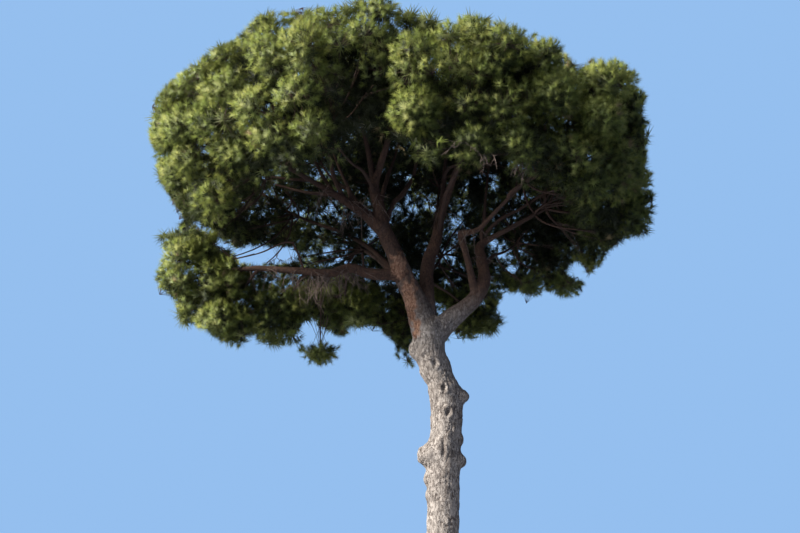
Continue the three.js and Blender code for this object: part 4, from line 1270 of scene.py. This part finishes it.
def growTwigs():
    # one stem into each mass, boughs to groups of clumps, a branch to each clump, a twig to each tuft
    random = np.random.default_rng(twig["seed"])
    (boughs, boughRadii), branches, branchRadii = innerLimbLines(), [], []
    byMass = {}
    for number, c in enumerate(clumps):
        byMass.setdefault(c["mass"], []).append(number)
    for hub in [clumps[n]["hub"] for n in byMass["hanging_tuft"]]:
        start = np.array(twig["hangFrom"]) + random.normal(size=3) * twig["hangSpread"]
        lead = (start + hub) / 2 + random.normal(size=3) * twig["sway"]
        branches.append(bent(start, lead, hub, twig["branchSteps"]))
        branchRadii.append(np.linspace(*twig["hangRadii"], twig["branchSteps"]))
    for name, mass in masses.items():
        tip = curveAt(mass["bough"]["points"], 1)[0]
        foot = mass["bough"]["tip"]
        mine = byMass.get(name, [])
        if not mine:
            continue
        hubs = np.array([clumps[n]["hub"] for n in mine])
        goal = mass["centre"] * twig["centreShare"] + hubs.mean(0) * (1 - twig["centreShare"])
        back = unit(tip - curveAt(mass["bough"]["points"], 0.93)[0])
        lead = tip + back * np.linalg.norm(goal - tip) * twig["stemLead"]
        stem = bent(tip - back * twig["overlap"], lead, goal, twig["boughSteps"])
        boughs.append(stem)
        boughRadii.append(np.linspace(foot, foot * twig["stemTaper"], twig["boughSteps"]))
        groups = max(1, round(len(mine) / twig["boughsPer"]))
        centres = hubs[random.choice(len(hubs), groups, replace=False)]
        for _ in range(twig["rounds"]):
            label = np.linalg.norm(hubs[:, None] - centres[None], axis=2).argmin(1)
            centres = np.array([hubs[label == g].mean(0) if (label == g).any() else centres[g]
                                for g in range(groups)])
        for g in range(groups):
            members = [n for n, l in zip(mine, label) if l == g]
            if not members:
                continue
            towards = centres[g]
            along = np.linalg.norm(stem - towards, axis=1).argmin()
            start = stem[max(0, along - 2 - random.integers(0, 2))]
            end = start + (towards - start) * twig["reach"]
            span = np.linalg.norm(end - start)
            lead = start + (end - start) * 0.5 + np.array([0, 0, -twig["sag"]]) * span
            lead += random.normal(size=3) * twig["sway"] * span
            inward = np.array([crown["x"], crown["y"], lead[2]]) - lead
            lead += unit(inward) * twig["inward"] * span * mass["underCrown"]
            line = bent(start, lead, end, twig["boughSteps"])
            size = min(foot * twig["thinning"], twig["boughFoot"] * (0.7 + 0.06 * len(members)))
            boughs.append(line)
            boughRadii.append(np.linspace(size, min(size * 0.6, twig["boughTip"]), twig["boughSteps"]))
            for n in members:
                hub = clumps[n]["hub"]
                start = line[min(len(line) - 1, 3 + int(random.random() * 6))]
                lead = start * twig["leadShare"] + hub * (1 - twig["leadShare"])
                lead = lead - clumps[n]["axis"] * twig["leadBack"]
                lead = lead + random.normal(size=3) * twig["branchSway"]
                course = bent(start, lead, hub, twig["branchSteps"])
                if inSkyGap(curveAt(course, np.linspace(0, 1, twig["lookSteps"]))).any():
                    continue
                branches.append(course)
                branchRadii.append(np.linspace(twig["branchFoot"], twig["branchTip"], twig["branchSteps"]))
    return (boughs, boughRadii), (branches, branchRadii)


def twigSpikes(starts, ends):
    # slim closed spikes of four faces from a clump's hub to the end of each shoot
    along = unit(ends - starts)
    side = unit(np.cross(along, np.array([0.31, 0.17, 0.94])))
    other = np.cross(along, side)
    turns = np.arange(3) * 2 * math.pi / 3
    ring = side[:, None] * np.cos(turns)[None, :, None] + other[:, None] * np.sin(turns)[None, :, None]
    verts = np.concatenate([starts[:, None] + ring * twig["twigFoot"], ends[:, None]], 1)
    faces = np.array([(0, 1, 3), (1, 2, 3), (2, 0, 3), (2, 1, 0)])[None]
    return verts.reshape(-1, 3), (faces + (np.arange(len(starts)) * 4)[:, None, None]).reshape(-1, 3)


massNames = list(masses)
boughLines, branchLines = growTwigs()
tuftHubs = np.array([clumps[t[0]]["hub"] for t in tufts])
outerTufts = np.array([not clumps[t[0]]["inner"] for t in tufts])
twigSkin = twigSpikes(tuftHubs[outerTufts], (tuftPlaces + tuftWays * tuft["shoot"])[outerTufts])
newPiece("crown_boughs", meshFromArrays("crown_boughs", *tubeArrays(*boughLines, 7), smooth=True),
         limbBark, massNames)
newPiece("crown_branches", meshFromArrays("crown_branches", *tubeArrays(*branchLines, 3), smooth=True),
         twigBark, massNames)
newPiece("crown_twigs", meshFromArrays("crown_twigs", *twigSkin), twigBark, massNames)
print("boughs:", len(boughLines[0]), "branches:", len(branchLines[0]), "twig faces:", len(twigSkin[1]))

# Dead twigs: drooping fans below the low limb and under the crown
deadTwig = {
    "fans": [("low_left_limb", 0.34, 8), ("low_left_limb", 0.45, 12), ("low_left_limb", 0.52, 14),
             ("low_left_limb", 0.6, 12), ("low_left_limb", 0.7, 8), ("low_left_limb", 0.8, 7),
             ("left_limb", 0.35, 7), ("left_limb", 0.6, 8), ("left_limb", 0.9, 8),
             ("low_left_inner_limb", 0.4, 7), ("low_rear_left_limb", 0.4, 8), ("left_leader", 0.8, 5),
             ("middle_limb", 0.8, 5), ("crooked_limb_reach", 0.6, 5), ("right_limb", 0.75, 6)],
    "loose": [((0.75, -5.0, 10.1), 5), ((1.35, -4.7, 10.05), 6), ((0.35, -5.2, 10.35), 4)],
    "length": 0.66, "foot": 0.0078, "tip": 0.0035, "forks": 4, "droop": 0.3,
    "looseSize": 0.6, "footSpread": (0.12, 0.05, 0.01), "waySpread": (0.7, 0.7, 0.3),
    "hang": (0, 0, -0.75), "shortest": 0.5, "lengthSpread": 0.7, "lead": 0.55, "sway": 0.05,
    "forkSpread": 0.75, "forkLength": 0.25, "forkLengthSpread": 0.2, "forkSway": 0.02,
    "forkFoot": 0.6, "forkTip": 0.7, "steps": 5, "seed": 43}


def deadTwigLines():
    random = np.random.default_rng(deadTwig["seed"])
    lines, radii = [], []
    fans = [(curveAt(limbs[name]["points"], share)[0], count, 1.0)
            for name, share, count in deadTwig["fans"]]
    fans += [(np.array(at), count, deadTwig["looseSize"]) for at, count in deadTwig["loose"]]
    for base, count, size in fans:
        for _ in range(count):
            start = base + random.normal(size=3) * deadTwig["footSpread"]
            way = unit(random.normal(size=3) * deadTwig["waySpread"] + deadTwig["hang"])
            own = deadTwig["shortest"] + deadTwig["lengthSpread"] * random.random()
            length = deadTwig["length"] * size * own
            end = start + way * length - np.array([0, 0, deadTwig["droop"] * length])
            lead = start + way * length * deadTwig["lead"] + random.normal(size=3) * deadTwig["sway"]
            line = bent(start, lead, end, deadTwig["steps"])
            lines.append(line)
            radii.append(np.linspace(deadTwig["foot"], deadTwig["tip"], deadTwig["steps"]))
            for k in range(deadTwig["forks"]):
                fork = line[1 + k % 3]
                side = unit(way + random.normal(size=3) * deadTwig["forkSpread"])
                own = deadTwig["forkLength"] + deadTwig["forkLengthSpread"] * random.random()
                tip = fork + side * length * own
                lead = (fork + tip) / 2 + random.normal(size=3) * deadTwig["forkSway"]
                lines.append(bent(fork, lead, tip, deadTwig["steps"]))
                radii.append(np.linspace(deadTwig["foot"] * deadTwig["forkFoot"],
                                         deadTwig["tip"] * deadTwig["forkTip"], deadTwig["steps"]))
    return lines, radii


deadLines = deadTwigLines()
newPiece("dead_twigs", meshFromArrays("dead_twigs", *tubeArrays(*deadLines, 3), smooth=True),
         deadBark, massNames)
print("dead twigs:", len(deadLines[0]))

# Needles: pairs of slim blades round each shoot, with a plain colour for each tuft
needle = {"pairs": 16, "length": 0.125, "width": 0.0138, "spread": 0.16, "openTip": 30, "openFoot": 98,
          "roll": 0.45, "oldShare": 0.34, "openPower": 0.75, "openSpread": 0.22, "shortest": 0.82,
          "lengthSpread": 0.36, "lean": (0.95, 0.6, 0.2), "hueShares": (0.4, 0.3, 0.3),
          "perPiece": 190000, "seed": 29}
innerNeedle = {"pairs": 7, "length": 0.15, "width": 0.023}
needleColours = {
    # the deep green is near black: mostly painted shade inside and under the crown, and the darkest old
    # needles at the feet of shoots
    "shade_deep_green": (0.04, 0.05, 0.018), "dark_green": (0.13, 0.155, 0.046),
    "green": (0.205, 0.245, 0.06), "olive_green": (0.262, 0.286, 0.073),
    "yellow_green": (0.3, 0.31, 0.088), "straw": (0.26, 0.205, 0.1)}
# the under and inner kinds lean to the darkest greens: painted shade on the crown's underside, in its
# hollows and in its heart
colourChance = {  # in the order of the colours above
    "outer": (0.0, 0.1, 0.36, 0.42, 0.11, 0.01), "under": (0.4, 0.34, 0.18, 0.05, 0.02, 0.01),
    "inner": (0.78, 0.16, 0.03, 0.0, 0.0, 0.03)}


def pairFaces(pairs):
    return (np.array([(0, 1, 3), (1, 2, 4)])[None] + (np.arange(pairs) * 5)[:, None, None]).reshape(-1, 3)


def needleArrays(shape, places, ways, outward, random, low=0.0, high=1.0):
    # pairs round the shoots, from a low to a high share of their length
    pairs = round(shape["pairs"] * (high - low))
    count = len(places)
    side = unit(np.cross(ways, unit(random.normal(size=(count, 3)))))
    other = np.cross(ways, side)
    step = low + (high - low) * (np.arange(pairs) + 0.5) / pairs
    turn = (np.arange(pairs) * goldenAngle)[None] + random.random((count, 1)) * 2 * math.pi
    closing = (shape["openTip"] - shape["openFoot"]) * step ** shape["openPower"]
    angle = np.radians(shape["openFoot"] + closing)[None]
    angle = angle + random.normal(size=(count, pairs)) * shape["openSpread"]
    around = side[:, None] * np.cos(turn)[..., None] + other[:, None] * np.sin(turn)[..., None]
    way = ways[:, None] * np.cos(angle)[..., None] + around * np.sin(angle)[..., None]
    base = places[:, None] + ways[:, None] * (tuft["shoot"] * step)[None, :, None]
    facing = np.cross(way, np.broadcast_to(ways[:, None], way.shape))
    flat = unit(facing + shape["roll"] * random.normal(size=(count, pairs, 3)))
    flat = unit(flat - way * (flat * way).sum(2, keepdims=True))
    own = shape["shortest"] + shape["lengthSpread"] * random.random((count, pairs, 1))
    size = shape["length"] * own
    size = size * (0.9 + 0.2 * random.random((count, 1, 1)))
    half = flat * shape["width"]
    tips = [base + unit(way + flat * s * shape["spread"]) * size for s in (-1, 1)]
    verts = np.stack([base - half, base, base + half, *tips], 2).reshape(-1, 3)
    byMass, byBlade, byShoot = shape["lean"]
    lean = unit(outward[:, None] * byMass + way * byBlade + ways[:, None] * byShoot)
    return verts, pairFaces(count * pairs), np.repeat(lean.reshape(-1, 3), 5, axis=0)


def needlePiece(title, material, verts, faces, normals):
    # needles shaded softly, as the swelling of foliage that they stand on
    mesh = meshFromArrays(title, verts, faces, smooth=True)
    mesh.normals_split_custom_set_from_vertices(normals)
    newPiece(title, mesh, material, massNames)


def dressNeedles():
    random = np.random.default_rng(needle["seed"])
    kinds = np.array(["inner" if t[3] else "under" if t[4] else "outer" for t in tufts])
    hue = np.zeros(len(tufts), int)
    for kind, chances in colourChance.items():
        mine = np.flatnonzero(kinds == kind)
        edges = np.cumsum(chances)
        clumpHue = np.random.default_rng(needle["seed"] + 1).random(len(clumps))
        owners = [tufts[i][0] for i in mine]
        crest = np.array([clumps[n]["crest"] for n in owners])
        byChance, byClump, byCrest = needle["hueShares"]
        # lobe crests draw the lighter, yellower greens and creases the darker ones: sun-bleached shoot
        # tips, and painted shade in the creases
        score = byChance * random.random(len(mine)) + byClump * clumpHue[owners] + byCrest * crest
        drawn = score.argsort().argsort() / max(1, len(mine))
        hue[mine] = np.minimum(np.searchsorted(edges, drawn * edges[-1]), len(chances) - 1)
    inside = kinds == "inner"
    rows = {h: [] for h in range(len(needleColours))}
    for h in rows:
        mine = np.flatnonzero((hue == h) & inside)
        rows[h].append(({**needle, **innerNeedle}, mine, 0.0, 1.0))
        mine = np.flatnonzero((hue == h) & ~inside)
        rows[h].append((needle, mine, needle["oldShare"], 1.0))
        rows[max(0, h - 1)].append((needle, mine, 0.0, needle["oldShare"]))
    total = 0
    for h, (name, colour) in enumerate(needleColours.items()):
        made = [needleArrays(shape, tuftPlaces[mine], tuftWays[mine], tuftNormals[mine], random, low, high)
                for shape, mine, low, high in rows[h] if len(mine)]
        if not made:
            continue
        verts, normals = np.vstack([m[0] for m in made]), np.vstack([m[2] for m in made])
        pairs = len(verts) // 5
        parts = math.ceil(2 * pairs / needle["perPiece"])
        edges = np.linspace(0, pairs, parts + 1).astype(int)
        material = needleMaterial("needles_" + name, colour)
        for part in range(parts):
            span = slice(edges[part] * 5, edges[part + 1] * 5)
            title = "needles_" + name + ("_" + str(part + 1)) * (parts > 1)
            faces = pairFaces(edges[part + 1] - edges[part])
            needlePiece(title, material, verts[span], faces, normals[span])
            total += len(faces)
    print("needles:", total, "triangles")


# Coarse dark sprays deep in each clump, which close the view through the crown; those in the crown's heart
# are near black, painted shade
deep = {"perClump": 3, "pairs": 8, "length": 0.24, "width": 0.026, "away": 0.2, "inside": 70,
        "seed": 37, "clumpColour": (0.14, 0.16, 0.048), "insideShadeColour": (0.024, 0.029, 0.013),
        "outward": 0.6, "awayRadius": 0.42, "insideSpread": (1, 1, 0.8), "insideRise": (0, 0, 0.35),
        "nearest": 0.35, "reachSpread": 0.4, "aboveCeiling": 0.2, "waySpread": 0.5,
        "overCeiling": 2400, "overFrom": 0.25, "overSpread": 0.5, "endShare": 0.6, "fillPower": 0.4,
        "edges": [((1.36, 2.6, 8.6), (0.35, 0.3, 0.25), 50), ((-0.35, -4.8, 13.05), (0.25, 0.25, 0.2), 30),
                  ((-5.75, -0.8, 7.95), (0.25, 0.25, 0.2), 30), ((-6.15, -1.1, 9.7), (0.2, 0.25, 0.15), 20),
                  ((4.7, -0.2, 10.15), (0.2, 0.25, 0.2), 20), ((-1.9, -4.8, 13.4), (0.25, 0.25, 0.15), 20),
                  ((-4.7, -1.0, 7.35), (0.25, 0.2, 0.12), 16), ((-3.8, -0.9, 7.35), (0.25, 0.2, 0.12), 16),
                  ((-1.96, 0.0, 7.95), (0.22, 0.25, 0.12), 18),
                  ((-2.43, -4.3, 13.45), (0.25, 0.25, 0.15), 20)],
        "backing": [((-1.8, -2.0, 12.95), (1.4, 1.6, 0.5), 330), ((-0.9, 1.5, 12.6), (2.2, 1.6, 0.6), 260),
                    ((-1.7, -4.0, 13.0), (1.2, 0.8, 0.45), 220), ((1.6, -3.9, 12.6), (0.9, 0.8, 0.6), 200),
                    ((1.2, -2.5, 12.8), (0.9, 0.8, 0.5), 160), ((-0.8, 2.8, 10.8), (0.6, 0.5, 0.9), 150),
                    ((-1.0, 2.6, 9.4), (0.4, 0.4, 0.5), 60),
                    ((-1.1, 1.5, 11.85), (0.4, 0.4, 0.35), 50), ((1.07, 1.5, 11.85), (0.3, 0.3, 0.3), 40),
                    ((-2.1, 1.5, 10.85), (0.4, 0.4, 0.35), 50), ((2.7, 1.6, 11.0), (0.9, 0.6, 0.5), 120),
                    ((1.55, 1.5, 12.5), (0.5, 0.5, 0.4), 70), ((0.6, 0.4, 12.9), (0.8, 0.6, 0.4), 90),
                    ((-3.8, -3.9, 12.3), (0.9, 0.5, 0.8), 150), ((-1.1, -3.2, 12.7), (0.8, 0.8, 0.5), 150),
                    ((-5.2, -0.4, 8.65), (0.5, 0.3, 0.4), 90),
                    ((-4.2, 0.2, 12.6), (0.6, 0.6, 0.4), 70)]}


def outOfGaps(places, ways):
    # leaves out the sprays that would cross the sky or leave the solids' box
    places, ways = np.array(places), np.array(ways)
    ends = places + ways * deep["length"] * deep["endShare"]
    kept = ((ends > boxLow) & (ends < boxHigh)).all(1) & ~inSkyGap(places) & ~inSkyGap(ends)
    return places[kept], ways[kept]


def deepPiece(title, places, ways, colour, random):
    places, ways = outOfGaps(places, ways)
    shape = {**needle, **{k: deep[k] for k in ("pairs", "length", "width")}}
    made = needleArrays(shape, places, ways, ways, random)
    needlePiece(title, needleMaterial(title, colour), *made)
    print(title, len(places), "sprays,", len(made[1]), "triangles")


def addBacking(swellings, random):
    # sprays spread through swellings that close the view where the masses part
    places, ways = [], []
    for at, radii, count in swellings:
        found = unit(random.normal(size=(count, 3))) * random.random((count, 1)) ** deep["fillPower"]
        places += list(np.array(at) + found * radii)
        ways += list(unit(random.normal(size=found.shape)))
    return places, ways


def dressDeep():
    random = np.random.default_rng(deep["seed"])
    places, ways = [], []
    for c in clumps:
        if c["inner"] or c["mass"] == "hanging_tuft":
            continue
        for _ in range(deep["perClump"]):
            way = unit(random.normal(size=3) + c["axis"] * deep["outward"])
            away = way * deep["away"] * random.random() * c["radius"] / deep["awayRadius"]
            places.append(c["hub"] + away)
            ways.append(way)
    added = addBacking(deep["edges"], np.random.default_rng(deep["seed"] + 1))
    deepPiece("needles_clump_heart", places + added[0], ways + added[1], deep["clumpColour"], random)
    places, ways = [], []
    for mass in masses.values():
        if not mass["underCrown"]:
            continue
        found = random.normal(size=(deep["inside"], 3)) * deep["insideSpread"]
        found = unit(found + deep["insideRise"])
        share = deep["nearest"] + deep["reachSpread"] * random.random(len(found))
        at = mass["centre"] + found * (reachOf(mass, found)[0] * share)[:, None]
        above = at[:, 2] > ceilingHeight(at) + deep["aboveCeiling"]
        places += list(at[above])
        ways += list(unit(found + random.normal(size=found.shape) * deep["waySpread"])[above])
    over = ceilingPoints(random)[1][:deep["overCeiling"]]
    rise = deep["overFrom"] + deep["overSpread"] * random.random((len(over), 1))
    places += list(over + np.array([0, 0, 1]) * rise)
    ways += list(unit(random.normal(size=over.shape)))
    added = addBacking(deep["backing"], random)
    # near-black sprays in the heart of the crown: painted shade
    deepPiece("needles_crown_heart", places + added[0], ways + added[1], deep["insideShadeColour"], random)


dressNeedles()
dressDeep()

# Floor, light and camera
stage = {"floor": 9, "floorBelow": 0.004, "floorColour": (0.26, 0.265, 0.275), "sunFromLeft": 66,
         "sunHeight": 25, "sunPower": 9.6, "sunSoft": 12, "sunColour": (1.0, 0.955, 0.88),
         "washHeight": 30, "washPower": 5.4, "washSoft": 100, "washColour": (0.93, 0.96, 1.0),
         "fill": (0.55, 0.68, 1.0), "fillPower": 0.45, "backdrop": (0.3, 0.52, 0.86)}


def setStage():
    bm = bmesh.new()
    bmesh.ops.create_circle(bm, cap_ends=True, segments=96, radius=stage["floor"])
    bmesh.ops.translate(bm, vec=(0, 0, -stage["floorBelow"]), verts=bm.verts)
    floor = newObject("floor", meshOf(bm, "floor"))
    material, _, shader = newMaterial("pale_floor", 0.9, 0.1)
    shader.inputs["Base Color"].default_value = (*stage["floorColour"], 1)
    floor.data.materials.append(material)
    left = math.radians(stage["sunFromLeft"])
    for name, kind in (("key", "sun"), ("wash", "wash")):
        height = math.radians(stage[kind + "Height"])
        towards = Vector((-math.cos(height) * math.sin(left), -math.cos(height) * math.cos(left),
                          math.sin(height)))
        lamp = bpy.data.lights.new(name, "SUN")
        lamp.energy, lamp.angle = stage[kind + "Power"], math.radians(stage[kind + "Soft"])
        lamp.color = stage[kind + "Colour"]
        newObject(name, lamp).rotation_euler = towards.to_track_quat("Z", "Y").to_euler()
    world = bpy.data.worlds.new("studio")
    world.use_nodes = True
    tree = world.node_tree
    fill = tree.nodes["Background"]
    fill.inputs[0].default_value = (*stage["fill"], 1)
    fill.inputs[1].default_value = stage["fillPower"]
    seen = addNode(tree, "Background", [(0, (*stage["backdrop"], 1)), (1, 1.0)])
    mix = addNode(tree, "MixShader", [(0, addNode(tree, "LightPath").outputs["Is Camera Ray"]),
                                      (1, fill.outputs[0]), (2, seen.outputs[0])])
    tree.links.new(mix.outputs[0], tree.nodes["World Output"].inputs["Surface"])
    bpy.context.scene.world = world
    bpy.context.scene.view_settings.view_transform = "Standard"
    camera = bpy.data.cameras.new("camera")
    camera.lens, camera.sensor_width = seenFrom["lens"], seenFrom["sensor"]
    camera.clip_end = seenFrom["farthest"]
    eye = newObject("camera", camera)
    eye.location = seenFrom["eye"]
    eye.rotation_euler = (math.radians(90 + seenFrom["pitch"]), 0, 0)
    bpy.context.scene.camera = eye


setStage()
